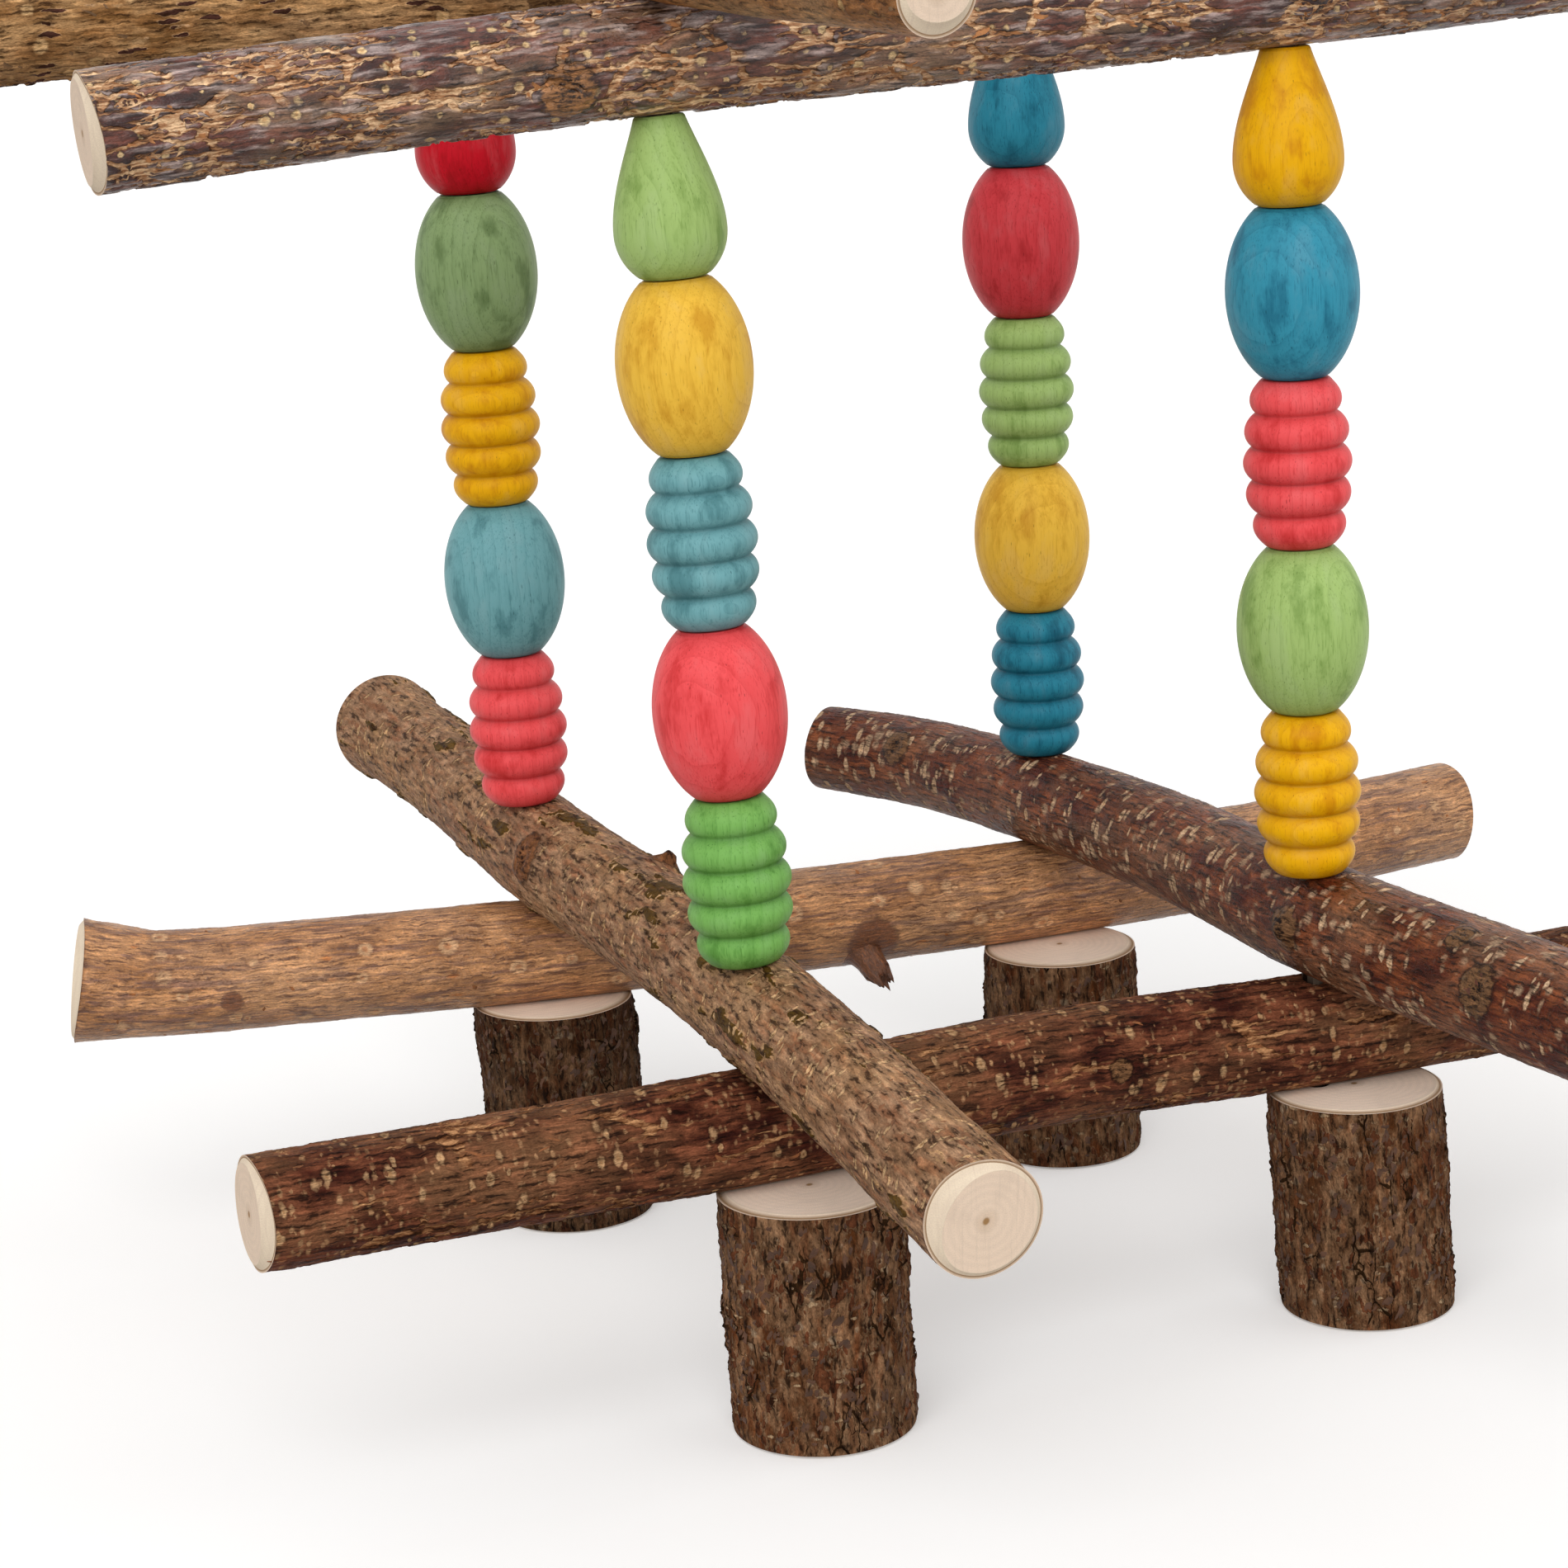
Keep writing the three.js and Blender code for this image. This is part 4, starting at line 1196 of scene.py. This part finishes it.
def bark_tree(group):
    """The tree that raises a skin's relief, scatters loose curls on it, and sets its materials."""
    tree, given = new_tree("bark_skin", {
        "Float": PATTERN_SIZES + CURL_SIZES, "Int": ("Seed",),
        "Material": ("Bark", "Sawn wood", "Curl"),
    })

    def named(name, kind):
        return output(tree, "GeometryNodeInputNamedAttribute", {"Name": name}, data_type=kind)

    def random(low, high):
        limits = {0: low, 1: high, "Seed": given["Seed"]}
        return output(tree, "FunctionNodeRandomValue", limits, data_type="FLOAT_VECTOR")

    sizes = {name: given[name] for name in PATTERN_SIZES}
    place = named("bark_place", "FLOAT_VECTOR")
    pattern = outputs(add(tree, "GeometryNodeGroup", {"Place": place, **sizes}, node_tree=group))
    freedom = named("freedom", "FLOAT")
    lift = times(output(tree, "GeometryNodeInputNormal"), pattern["Height"] * (freedom * MM))
    raised = output(
        tree, "GeometryNodeSetPosition", {"Geometry": given["Geometry"], "Offset": lift}
    )

    # curls stand where the bark is free, and on the peeling skin where that is asked for
    cell = given["curl_gap"] * MM
    keep = between(given["curl_on_net"], 1.0, pattern["Net"] * 2.0)
    loose = maths("GREATER_THAN", freedom, 0.9)
    density = maths("DIVIDE", 1.0, cell * cell) * (keep * loose)
    scatter = {"Mesh": raised, "Density": density, "Seed": given["Seed"]}
    spread = outputs(add(
        tree, "GeometryNodeDistributePointsOnFaces", scatter, distribute_method="RANDOM"
    ))
    facing = {"Primary Axis": spread["Normal"], "Secondary Axis": named("run", "FLOAT_VECTOR")}
    turned = output(
        tree, "FunctionNodeAxesToRotation", facing, primary_axis="Z", secondary_axis="X"
    )
    spin = output(
        tree, "FunctionNodeEulerToRotation", {0: random((-0.12, -0.15, -0.5), (0.12, 0.15, 0.5))}
    )
    turned = output(
        tree, "FunctionNodeRotateRotation", {0: turned, 1: spin}, rotation_space="LOCAL"
    )
    curl = curl_sheet(tree, given["curl_length"], given["curl_width"], given["curl_lift"])
    dots = {
        "Points": spread["Points"], "Instance": curl, "Rotation": turned,
        "Scale": random((0.4, 0.5, 0.7), (1.5, 1.3, 1.2)),
    }
    curls = output(tree, "GeometryNodeInstanceOnPoints", dots)
    curls = output(tree, "GeometryNodeRealizeInstances", {0: curls})

    skin = with_material(raised, given["Bark"])
    skin = with_material(skin, given["Sawn wood"], Selection=named("sawn", "BOOLEAN"))
    joined = add(tree, "GeometryNodeJoinGeometry")
    for part in (with_material(curls, given["Curl"]), skin):
        tree.links.new(part.socket, joined.inputs[0])
    add(tree, "NodeGroupOutput", {"Geometry": Value(joined.outputs[0])})
    return tree


def ribbed_tree():
    """The tree that turns a grid into a ribbed bead: rings of ribs that shrink towards the ends."""
    tree, given = new_tree("ribbed_bead", {
        "Float": ("Length", "End radius", "Rib radius", "Rib fall", "Groove depth", "Bore radius"),
        "Int": ("Ribs", "Sides", "Steps"), "Material": ("Material",),
    })
    counts = {"Vertices X": given["Sides"] + 1.0, "Vertices Y": given["Steps"] + 1.0}
    grid = output(tree, "GeometryNodeMeshGrid", {"Size X": 1.0, "Size Y": 1.0, **counts})
    x, y, _ = split(output(tree, "GeometryNodeInputPosition"))
    turn, share = x * (2 * math.pi), y + 0.5
    # rows at the two ends run in to the bore, and the rest draws the ribs
    inset = 0.04
    ends = {"Value": share, "From Min": inset, "From Max": 1 - inset}
    height = output(tree, "ShaderNodeMapRange", ends, "Result")
    beat = height * given["Ribs"] * math.pi
    round_rib = maths("POWER", maths("ABSOLUTE", maths("SINE", beat)), 0.6)
    off = height - FULLEST_RIB
    crest = off * off * (given["Rib fall"] * -1.0) + given["Rib radius"]
    at_end = ramp(maths("ABSOLUTE", height - 0.5), 0.44, 0.5)
    root = between(at_end, crest - given["Groove depth"], given["End radius"])
    near_edge = maths("MINIMUM", share, maths("SUBTRACT", 1.0, share))
    capped = maths("LESS_THAN", near_edge, inset * 0.5)
    radius = between(capped, between(round_rib, root, crest), given["Bore radius"])
    place = xyz(
        maths("COSINE", turn) * radius, maths("SINE", turn) * radius, height * given["Length"]
    )
    shaped = output(tree, "GeometryNodeSetPosition", {"Geometry": grid, "Position": place})
    weld = {"Geometry": shaped, "Distance": 0.01 * MM}
    real = output(
        tree, "GeometryNodeRealizeInstances", {0: output(tree, "GeometryNodeMergeByDistance", weld)}
    )
    add(tree, "NodeGroupOutput", {"Geometry": with_material(real, given["Material"])})
    return tree


def grown(name, mesh, tree, values):
    """Runs a Geometry Nodes tree on a mesh and returns the plain object that it makes."""
    made = bpy.data.objects.new(name, mesh)
    bpy.context.scene.collection.objects.link(made)
    modifier = made.modifiers.new("nodes", "NODES")
    modifier.node_group = tree
    for item in tree.interface.items_tree:
        if item.in_out == "INPUT" and item.name in values:
            modifier[item.identifier] = values[item.name]
    bpy.context.view_layer.update()
    graph = bpy.context.evaluated_depsgraph_get()
    result = bpy.data.meshes.new_from_object(
        made.evaluated_get(graph), preserve_all_data_layers=True, depsgraph=graph
    )
    made.modifiers.clear()
    made.data = result
    result.name = name
    return made


def plain_object(name, mesh, material):
    """An object at the origin with one material."""
    mesh.materials.append(material)
    made = bpy.data.objects.new(name, mesh)
    bpy.context.scene.collection.objects.link(made)
    return made


# Beads


def egg_profile(look):
    """Radii and heights of an egg bead's side."""
    half = look.egg_length / 2
    tall = half / math.sqrt(1 - (look.end_radius / look.egg_radius) ** 2)
    lowest = math.asin(half / tall)
    angle = np.linspace(-lowest, lowest, 61)
    return look.egg_radius * np.cos(angle), half + tall * np.sin(angle)


def pear_profile(look):
    """Radii and heights of a pear bead's side."""
    widest = look.pear_length * look.pear_widest
    squat = math.sqrt(look.pear_radius**2 - look.end_radius**2) / look.pear_radius
    angle = np.linspace(-math.asin(squat), 0, 20)[:-1]
    radii = look.pear_radius * np.cos(angle)
    heights = widest * (1 + np.sin(angle) / squat)
    share = np.linspace(0, 1, 42)
    rise = look.pear_length - widest
    taper = look.pear_radius - look.pear_top_radius
    corners = np.array([
        [look.pear_radius, widest],
        [look.pear_radius, widest + 0.36 * rise],
        [look.pear_top_radius + 0.22 * taper, widest + 0.78 * rise],
        [look.pear_top_radius, look.pear_length],
    ])
    left = 1 - share
    weights = np.array([left**3, 3 * left**2 * share, 3 * left * share**2, share**3])
    curve = weights.T @ corners
    return np.concatenate([radii, curve[:, 0]]), np.concatenate([heights, curve[:, 1]])


def turned_rings(radii, heights, sides):
    """The points of rings round Z. A radius is one number, or one for each side."""
    turn = np.linspace(0, 2 * math.pi, sides, endpoint=False)
    return np.concatenate([
        np.column_stack([r * np.cos(turn), -r * np.sin(turn), np.full(sides, z)])
        for r, z in zip(radii, heights)
    ])


def lathe_mesh(name, radii, heights, bore, sides):
    """A turned solid with a hole right through it, and its sharp edges softened a little."""
    edge = 0.35 * MM
    low = [bore, radii[0] - edge, radii[0] - 0.3 * edge]
    high = [radii[-1] - 0.3 * edge, radii[-1] - edge, bore]
    radii = np.concatenate([low, radii, high])
    top = heights[-1]
    side = np.clip(heights, edge, top - edge)
    heights = np.concatenate([[0, 0, 0.25 * edge], side, [top - 0.25 * edge, top, top]])
    faces = ring_faces(len(radii), sides, True).tolist()
    mesh = mesh_from(name, turned_rings(radii, heights, sides), faces)
    mark_sharp(mesh, np.repeat(np.arange(len(radii)), sides), [0, len(radii) - 1])
    return mesh


def place_bead(made, joint, kind, look, grade, turn):
    """Gives a bead its grain and dye attributes, then sets it on its rod."""
    mesh = made.data
    points = np.zeros(len(mesh.vertices) * 3)
    mesh.vertices.foreach_get("co", points)
    x, y, z = points.reshape(-1, 3).T
    length = z.max()
    # each bead is cut from another part of the wood
    c, s = math.cos(turn), math.sin(turn)
    grain = np.column_stack([x * c - y * s, x * s + y * c, z]) / MM
    grain[:, 2] += turn * 37
    set_attribute(mesh, "grain_place", "FLOAT_VECTOR", grain)
    # the dye soaks deepest into the end grain; in the grooves the same darkening is painted shade
    if kind == "ribbed":
        crest = look.rib_radius - look.rib_fall * (z / length - FULLEST_RIB) ** 2
        below = (crest * grade - np.hypot(x, y)) / (look.groove_depth * grade)
        soak = np.clip(below, 0, 1) ** 1.5 * 0.8
    else:
        soak = np.clip(1 - np.minimum(z, length - z) / length / 0.1, 0, 1) * 0.35
    set_attribute(mesh, "soak", "FLOAT", soak)
    mesh.transform(standing(joint["pos_m"], joint["axis"]))


# Operators


class TOWER_OT_branches(bpy.types.Operator):
    """Wraps the eight branches of the two decks in bark"""

    bl_idname = "tower.branches"
    bl_label = "Branches"

    def execute(self, context):
        scene = context.scene
        step = BRANCH_STEPS[1]
        groups = bark_groups()
        look = scene.tower_wood
        wood = material_named("sawn_hazel", draw_sawn, look, look.face)
        lines = {name: branch_line(name, 2 * MM)[1:] for name in BRANCHES}
        for name, (bark, wide) in BRANCHES.items():
            shells = branch_shell(name, step, look, wide)
            mesh = shell_mesh(name + "_skin", shells, branch_contacts(name, lines))
            set_run(mesh, lines[name][0][-1] - lines[name][0][0])
            made = dress_in_bark(name + "_branch", mesh, scene.tower_barks[bark], groups, wood)
            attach(made, TOWER_BODY)
            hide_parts(name)
        return {"FINISHED"}


class TOWER_OT_feet(bpy.types.Operator):
    """Makes the four log feet, with their nut pockets"""

    bl_idname = "tower.feet"
    bl_label = "Log feet"

    def execute(self, context):
        scene = context.scene
        step = FOOT_STEPS[1]
        groups = bark_groups()
        look = scene.tower_wood
        # the feet's tops take a paler face colour as painted light against the branch's shade
        wood = material_named("sawn_log", draw_sawn, look, look.lit_log_face)
        bark = scene.tower_barks["foot_bark"]
        for number, corner in enumerate(CORNERS):
            shell = foot_shell(corner, number, step, look)
            mesh = shell_mesh("foot_" + corner + "_skin", [shell], [], closed=True)
            set_run(mesh, UP)
            # each foot's darkening: darker bark, and painted shadow where it stands in shade
            name, shade = "foot_" + corner + "_log", FOOT_TONE_AND_SHADOW[corner]
            made = dress_in_bark(name, mesh, bark, groups, wood, number, shade)
            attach(made, TOWER_BODY)
            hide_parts("foot_" + corner)
        return {"FINISHED"}


class TOWER_OT_beads(bpy.types.Operator):
    """Turns the twenty dyed beads, each on its own body"""

    bl_idname = "tower.beads"
    bl_label = "Beads"

    def execute(self, context):
        look = context.scene.tower_beads
        tree = bpy.data.node_groups.get("ribbed_bead") or ribbed_tree()
        sides = BEAD_SIDES[1]
        profiles = {"egg": egg_profile(look), "pear": pear_profile(look)}
        nominal = {"egg": look.egg_length, "pear": look.pear_length, "ribbed": look.ribbed_length}
        for column, corner in enumerate(CORNERS):
            for number, kind in enumerate(BEAD_KINDS):
                body = f"bead_{corner}_{number + 1}"
                node = f"{body}_{kind}"
                joint = JOINTS[f"spin_{corner}_{number + 1}"]
                points, _ = node_points(node)
                reach = (points - np.array(joint["pos_m"])) @ np.array(joint["axis"])
                grade = float(reach.max() / nominal[kind])
                dye = BEAD_DYES[corner][number]
                material = material_named(f"{dye}_dyed_beech", draw_dyed, getattr(look, dye))
                name = f"dyed_{node}"
                if kind == "ribbed":
                    values = {
                        "Length": look.ribbed_length * grade,
                        "End radius": look.end_radius * grade,
                        "Rib radius": look.rib_radius * grade,
                        "Rib fall": look.rib_fall * grade,
                        "Groove depth": look.groove_depth * grade,
                        "Bore radius": look.bore_radius,
                        "Ribs": look.rib_count,
                        "Sides": sides,
                        "Steps": 100,
                        "Material": material,
                    }
                    made = grown(name, bpy.data.meshes.new(name), tree, values)
                    faces = made.data.polygons
                    faces.foreach_set("use_smooth", np.ones(len(faces), bool))
                else:
                    radii, heights = profiles[kind]
                    mesh = lathe_mesh(name, radii * grade, heights * grade, look.bore_radius, sides)
                    made = plain_object(name, mesh, material)
                place_bead(made, joint, kind, look, grade, column * 1.9 + number * 2.3)
                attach(made, body)
                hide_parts(node)
        return {"FINISHED"}


class TOWER_OT_hardware(bpy.types.Operator):
    """Finishes the rods and nuts, and makes round cap nuts and washers for the upper deck"""

    bl_idname = "tower.hardware"
    bl_label = "Hardware"

    def execute(self, context):
        look = context.scene.tower_hardware
        steel = material_named("zinc_plated_steel", draw_steel, look.steel)
        # the rods' dark steel stands in as painted shade in the gaps where they show
        rod_shade = material_named("oiled_steel", draw_steel, look.rod)
        for name, node in frame["nodes"].items():
            if name.startswith(("rod_", "lower_nut_", "lower_washer_")):
                node.data.materials.clear()
                node.data.materials.append(rod_shade if name.startswith("rod_") else steel)
        for corner in CORNERS:
            joint = JOINTS[f"spin_{corner}_5"]
            axis, point = np.array(joint["axis"]), np.array(joint["pos_m"])
            for kind, make in (("cap_nut_", cap_nut_mesh), ("top_washer_", washer_mesh)):
                node = kind + corner
                points, _ = node_points(node)
                reach = (points - point) @ axis
                beside = np.linalg.norm(points - point - reach[:, None] * axis, axis=1)
                mesh = make(node + "_steel", reach.max() - reach.min(), beside.max(), look)
                mesh.transform(standing(point + axis * reach.min(), axis))
                made = plain_object(node + "_steel", mesh, steel)
                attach(made, TOWER_BODY)
                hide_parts(node)
        return {"FINISHED"}


class TOWER_OT_stage(bpy.types.Operator):
    """Sets up the floor, the background, the lamps and the camera"""

    bl_idname = "tower.stage"
    bl_label = "Stage"

    def execute(self, context):
        look = context.scene.tower_stage
        make_floor(look)
        make_background(look)
        make_lamp("key_lamp", look.key_strength, 50, Vector((-0.65, -1.05, 0.9)))
        make_lamp("fill_lamp", look.fill_strength, 60, Vector((1.25, -0.6, 0.75)))
        make_camera(look)
        context.scene.view_settings.view_transform = "Standard"
        return {"FINISHED"}


def bark_groups():
    """The pattern groups and the skin's tree, made once."""
    groups = bpy.data.node_groups
    shader = groups.get("bark_pattern_Shader") or pattern_group("Shader")
    geometry = groups.get("bark_pattern_Geometry") or pattern_group("Geometry")
    skin = groups.get("bark_skin") or bark_tree(geometry)
    return shader, skin


def set_run(mesh, direction):
    """Stores the direction that the bark's fibres run in."""
    run = np.tile(unit(np.array(direction, float)), (len(mesh.vertices), 1))
    set_attribute(mesh, "run", "FLOAT_VECTOR", run)


def dress_in_bark(name, mesh, look, groups, wood, number=0, shade=1.0):
    """Runs the skin's tree on a shell, with one bark's values. A tone below 1 darkens it: darker
    bark and painted shadow.
    """
    shader_group, tree = groups
    place = np.zeros(len(mesh.vertices) * 3)
    mesh.attributes["bark_place"].data.foreach_get("vector", place)
    # every branch takes its pattern from another part of the noise
    start = PATTERN_STEP * (look.seed + 0.37 * number)
    if name.startswith("upper_right"):
        start = start + TWIN_STEP
    moved = place.reshape(-1, 3) + start
    mesh.attributes["bark_place"].data.foreach_set("vector", moved.ravel())
    values = {key: getattr(look, key) for key in PATTERN_SIZES + CURL_SIZES}
    values["Seed"] = look.seed * 10 + number
    values["Bark"] = material_named("dry_" + look.name, draw_bark, look, shader_group)
    values["Sawn wood"] = wood
    values["Curl"] = material_named("loose_" + look.name, draw_curl, look.curl)
    set_attribute(mesh, "sawn_place", "FLOAT_VECTOR", place)
    # stored for the bark's material, which darkens the colour by it: darker bark and painted shadow
    set_attribute(mesh, "shade", "FLOAT", np.full(len(mesh.vertices), shade))
    return grown(name, mesh, tree, values)


def column_parts(corner):
    """Axis, lowest point and highest point of a column of beads."""
    lowest, highest = JOINTS[f"spin_{corner}_1"], JOINTS[f"spin_{corner}_5"]
    axis = np.array(lowest["axis"])
    points, _ = node_points(f"bead_{corner}_5_pear")
    top = np.array(highest["pos_m"])
    return axis, np.array(lowest["pos_m"]), top + axis * ((points - top) @ axis).max()


def branch_contacts(name, lines):
    """What a branch is cut for: the feet, beads, washers and branches that touch it."""
    low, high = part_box(name)
    deck = name.split("_")[0]
    contacts = []
    for corner in CORNERS:
        axis, base, top = column_parts(corner)
        if not (low.x < base[0] < high.x and low.y < base[1] < high.y):
            continue
        if deck == "lower" and "cross" in name:
            contacts.append(Contact(base - SEAT_GAP * axis, axis, BEAD_SEAT_RADIUS))
        elif deck == "lower":
            foot_low, foot_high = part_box("foot_" + corner)
            x, y = ((foot_low[side] + foot_high[side]) / 2 for side in (0, 1))
            foot_top = [x, y, foot_high.z + SEAT_GAP]
            contacts.append(Contact(foot_top, -UP, (foot_high.x - foot_low.x) / 2 + SEAT_GAP))
        elif "cross" not in name:
            contacts.append(Contact(top + SEAT_GAP * axis, -axis, PEAR_SEAT_RADIUS))
        else:
            points, _ = node_points("top_washer_" + corner)
            seat = top + axis * (((points - top) @ axis).min() - SEAT_GAP)
            contacts.append(Contact(seat, axis, WASHER_SEAT_RADIUS))
    if "cross" in name:
        contacts += [Saddle(*lines[f"{deck}_{side}_rail"]) for side in ("front", "back")]
    return contacts


def foot_shell(corner, number, step, wood):
    """A log foot's rings: down the bore, out over the top, down the bark, in to the nut pocket."""
    points, triangles = node_points("foot_" + corner)
    height = points[:, 2].max()
    ends = []
    for level in (height, 0.0):
        flat = points[np.abs(points[:, 2] - level) < 1e-5]
        far = flat[np.linalg.norm(flat[:, :2] - flat[:, :2].mean(0), axis=1) > 12 * MM]
        middle = (far[:, :2].min(0) + far[:, :2].max(0)) / 2
        ends.append((middle, (far[:, 0].max() - far[:, 0].min()) / 2))
    (top, radius), (bottom, _) = ends
    axis, base, _ = column_parts(corner)
    sides = int(2 * math.pi * radius / step)
    shell = Shell(sides)
    angle = shell.angles
    circle = np.column_stack([np.cos(angle), -np.sin(angle)])
    wide = math.radians(80 * number + 200)
    bevel = wood.bevel * 0.8 + 0.6 * MM * np.maximum(np.cos(angle - wide), 0)

    def middle_at(z):
        return bottom + (top - bottom) * z / height

    def rod_at(z):
        return base[:2] + axis[:2] / axis[2] * (z - base[2])

    def ring(z, size, share=1.0, **kinds):
        """A ring at height z, centred between the rod (share 0) and the log (share 1)."""
        size = np.broadcast_to(size, angle.shape)
        centre = rod_at(z) * (1 - share) + middle_at(z) * share
        flat_place = circle * size[:, None]
        xyz = np.column_stack([centre + flat_place, np.full(sides, z) if np.isscalar(z) else z])
        offset = (centre - middle_at(z)) / MM + flat_place / MM
        shell.ring(xyz, np.column_stack([np.full(sides, z / MM), offset]), **kinds)

    inner = radius - wood.bark_thickness
    face, bore, pocket = inner - bevel, FOOT_BORE_RADIUS, FOOT_POCKET_RADIUS
    ring(height, bore, 0.0, cut=True, sharp=True)
    for share in (0.25, 0.5, 0.75, 0.95):
        ring(height, bore + (face - bore) * share, share, cut=True)
    ring(height, face, cut=True, sharp=True, bevel=0.6)
    ring(height - 0.6 * wood.bevel, inner, cut=True, sharp=True, rim=1.0)
    rows = int(height / step)
    top_rim, low_rim = height - 0.7 * wood.bevel, 0.7 * wood.bevel
    for i in range(rows + 1):
        z = top_rim + (low_rim - top_rim) * i / rows
        freedom = float(np.clip((min(top_rim - z, z - low_rim) - 0.3 * MM) / (2 * MM), 0, 1))
        ring(z, radius, freedom=freedom, sharp=i in (0, rows), cut=i == rows)
    ring(0.6 * wood.bevel, inner, cut=True, sharp=True, rim=1.0)
    ring(0.0, face, cut=True, sharp=True, bevel=0.6)
    for share in (0.95, 0.7, 0.4, 0.15):
        ring(0.0, pocket + (face - pocket) * share, share, cut=True)
    for z, size in ((0.0, pocket), (FOOT_POCKET_DEPTH, pocket), (FOOT_POCKET_DEPTH, bore)):
        ring(z, size, 0.0, cut=True, sharp=True)
    return shell


def cap_nut_mesh(name, height, radius, look):
    """A cap nut: a hexagon with its corners turned off, and a round dome."""
    sides = 96
    turn = np.linspace(0, 2 * math.pi, sides, endpoint=False)
    flat = look.nut_across_flats / 2
    hexagon = flat / np.cos((turn + math.pi / 6) % (math.pi / 3) - math.pi / 6)
    chamfer, top = 0.35 * MM, look.flats_height
    rows = [(np.minimum(hexagon, flat * 1.02), 0), (hexagon, chamfer)]
    rows += [(hexagon, top - chamfer), (np.minimum(hexagon, flat * 1.01), top)]
    for angle in np.linspace(0, math.pi / 2, 12)[:-1]:
        dome = flat * 0.94 * math.cos(angle)
        rows.append((np.full(sides, dome), top + (height - top) * math.sin(angle)))
    points = np.vstack([turned_rings(*zip(*rows), sides), [[0, 0, 0], [0, 0, height]]])
    faces = ring_faces(len(rows), sides, False).tolist()
    around = np.arange(sides)
    last = (len(rows) - 1) * sides
    low, high = len(points) - 2, len(points) - 1
    faces += [[low, a, b] for a, b in zip(around, np.roll(around, -1))]
    faces += [[high, last + b, last + a] for a, b in zip(around, np.roll(around, -1))]
    mesh = mesh_from(name, points, faces)
    mesh.set_sharp_from_angle(angle=math.radians(28))
    return mesh


def washer_mesh(name, height, radius, look):
    """A flat washer with softened edges."""
    edge, hole = look.washer_edge, FOOT_BORE_RADIUS
    radii = [hole, hole + edge, radius - edge, radius, radius, radius - edge, hole + edge, hole]
    heights = [edge, 0, 0, edge, height - edge, height, height, height - edge]
    sides = 72
    faces = ring_faces(len(radii), sides, True).tolist()
    mesh = mesh_from(name, turned_rings(radii, heights, sides), faces)
    mesh.set_sharp_from_angle(angle=math.radians(50))
    return mesh


def make_floor(look):
    """A large pale floor that keeps the tower's shadow."""
    half = look.floor_size / 2
    corners = np.array([[-half, -half, 0], [half, -half, 0], [half, half, 0], [-half, half, 0]])
    material = material_named("matt_painted_floor", draw_floor, look)
    floor = plain_object("floor", mesh_from("floor", corners, [[0, 1, 2, 3]]), material)


def make_background(look):
    """White for the camera and for reflections, and a dimmer even light for the rest."""
    world = bpy.data.worlds.new("studio")
    bpy.context.scene.world = world
    world.use_nodes = True
    tree = world.node_tree
    tree.nodes.clear()
    strength = between(seen(tree), look.sky_strength, 1.0)
    back = output(tree, "ShaderNodeBackground", {"Color": (1, 1, 1, 1), "Strength": strength})
    add(tree, "ShaderNodeOutputWorld", {"Surface": back})


def make_lamp(name, strength, spread, place):
    """A far, wide lamp that shines from that side, and spreads over so many degrees."""
    lamp = bpy.data.lights.new(name, "SUN")
    lamp.energy = strength
    lamp.angle = math.radians(spread)
    made = bpy.data.objects.new(name, lamp)
    made.location = place
    made.rotation_mode = "QUATERNION"
    made.rotation_quaternion = place.to_track_quat("Z", "Y")
    bpy.context.scene.collection.objects.link(made)


def make_camera(look):
    """The photograph's camera."""
    data = bpy.data.cameras.new("photo_camera")
    data.lens = look.lens
    data.sensor_width = 36
    data.clip_start = 0.05
    made = bpy.data.objects.new("photo_camera", data)
    back = Vector(look.camera_back).normalized()
    right = Vector(look.camera_right).normalized()
    above = back.cross(right).normalized()
    turn = Matrix((right, above, back)).transposed()
    made.matrix_world = Matrix.Translation(Vector(look.camera_place)) @ turn.to_4x4()
    bpy.context.scene.collection.objects.link(made)
    bpy.context.scene.camera = made


class TOWER_PT_panel(bpy.types.Panel):
    """Lists the tower's pieces, and the values that they are made from."""

    bl_idname = "TOWER_PT_panel"
    bl_label = "Climbing tower"
    bl_space_type = "VIEW_3D"
    bl_region_type = "UI"
    bl_category = "Tower"

    def draw(self, context):
        layout = self.layout
        for operator in OPERATORS:
            layout.operator(operator.bl_idname)
        scene = context.scene
        for group in (*(getattr(scene, name) for name in SINGLE_GROUPS), *scene.tower_barks):
            box = layout.box()
            box.label(text=group.name or group.bl_rna.name)
            for name in group.bl_rna.properties.keys():
                if name not in ("rna_type", "name"):
                    box.prop(group, name, text=name.replace("_", " ").capitalize())


SINGLE_GROUPS = {
    "tower_wood": TowerWood, "tower_beads": TowerBeads, "tower_hardware": TowerHardware,
    "tower_stage": TowerStage,
}
OPERATORS = (TOWER_OT_stage, TOWER_OT_branches, TOWER_OT_feet, TOWER_OT_beads, TOWER_OT_hardware)
CLASSES = (TowerBark, *SINGLE_GROUPS.values(), *OPERATORS, TOWER_PT_panel)


def register():
    """Registers the groups, operators and panel."""
    for kind in CLASSES:
        bpy.utils.register_class(kind)
    scene = bpy.types.Scene
    scene.tower_barks = bpy.props.CollectionProperty(type=TowerBark)
    for name, kind in SINGLE_GROUPS.items():
        setattr(scene, name, bpy.props.PointerProperty(type=kind))


def unregister():
    """Takes everything out again."""
    scene = bpy.types.Scene
    for name in ("tower_barks", *SINGLE_GROUPS):
        delattr(scene, name)
    for kind in reversed(CLASSES):
        bpy.utils.unregister_class(kind)


def main():
    register()
    barks = bpy.context.scene.tower_barks
    for name, values in BARKS.items():
        bark = barks.add()
        bark.name = name
        for key, value in values.items():
            setattr(bark, key, value)
    for operator in OPERATORS:
        getattr(bpy.ops.tower, operator.bl_idname.split(".")[1])()


if __name__ == "__main__":
    main()
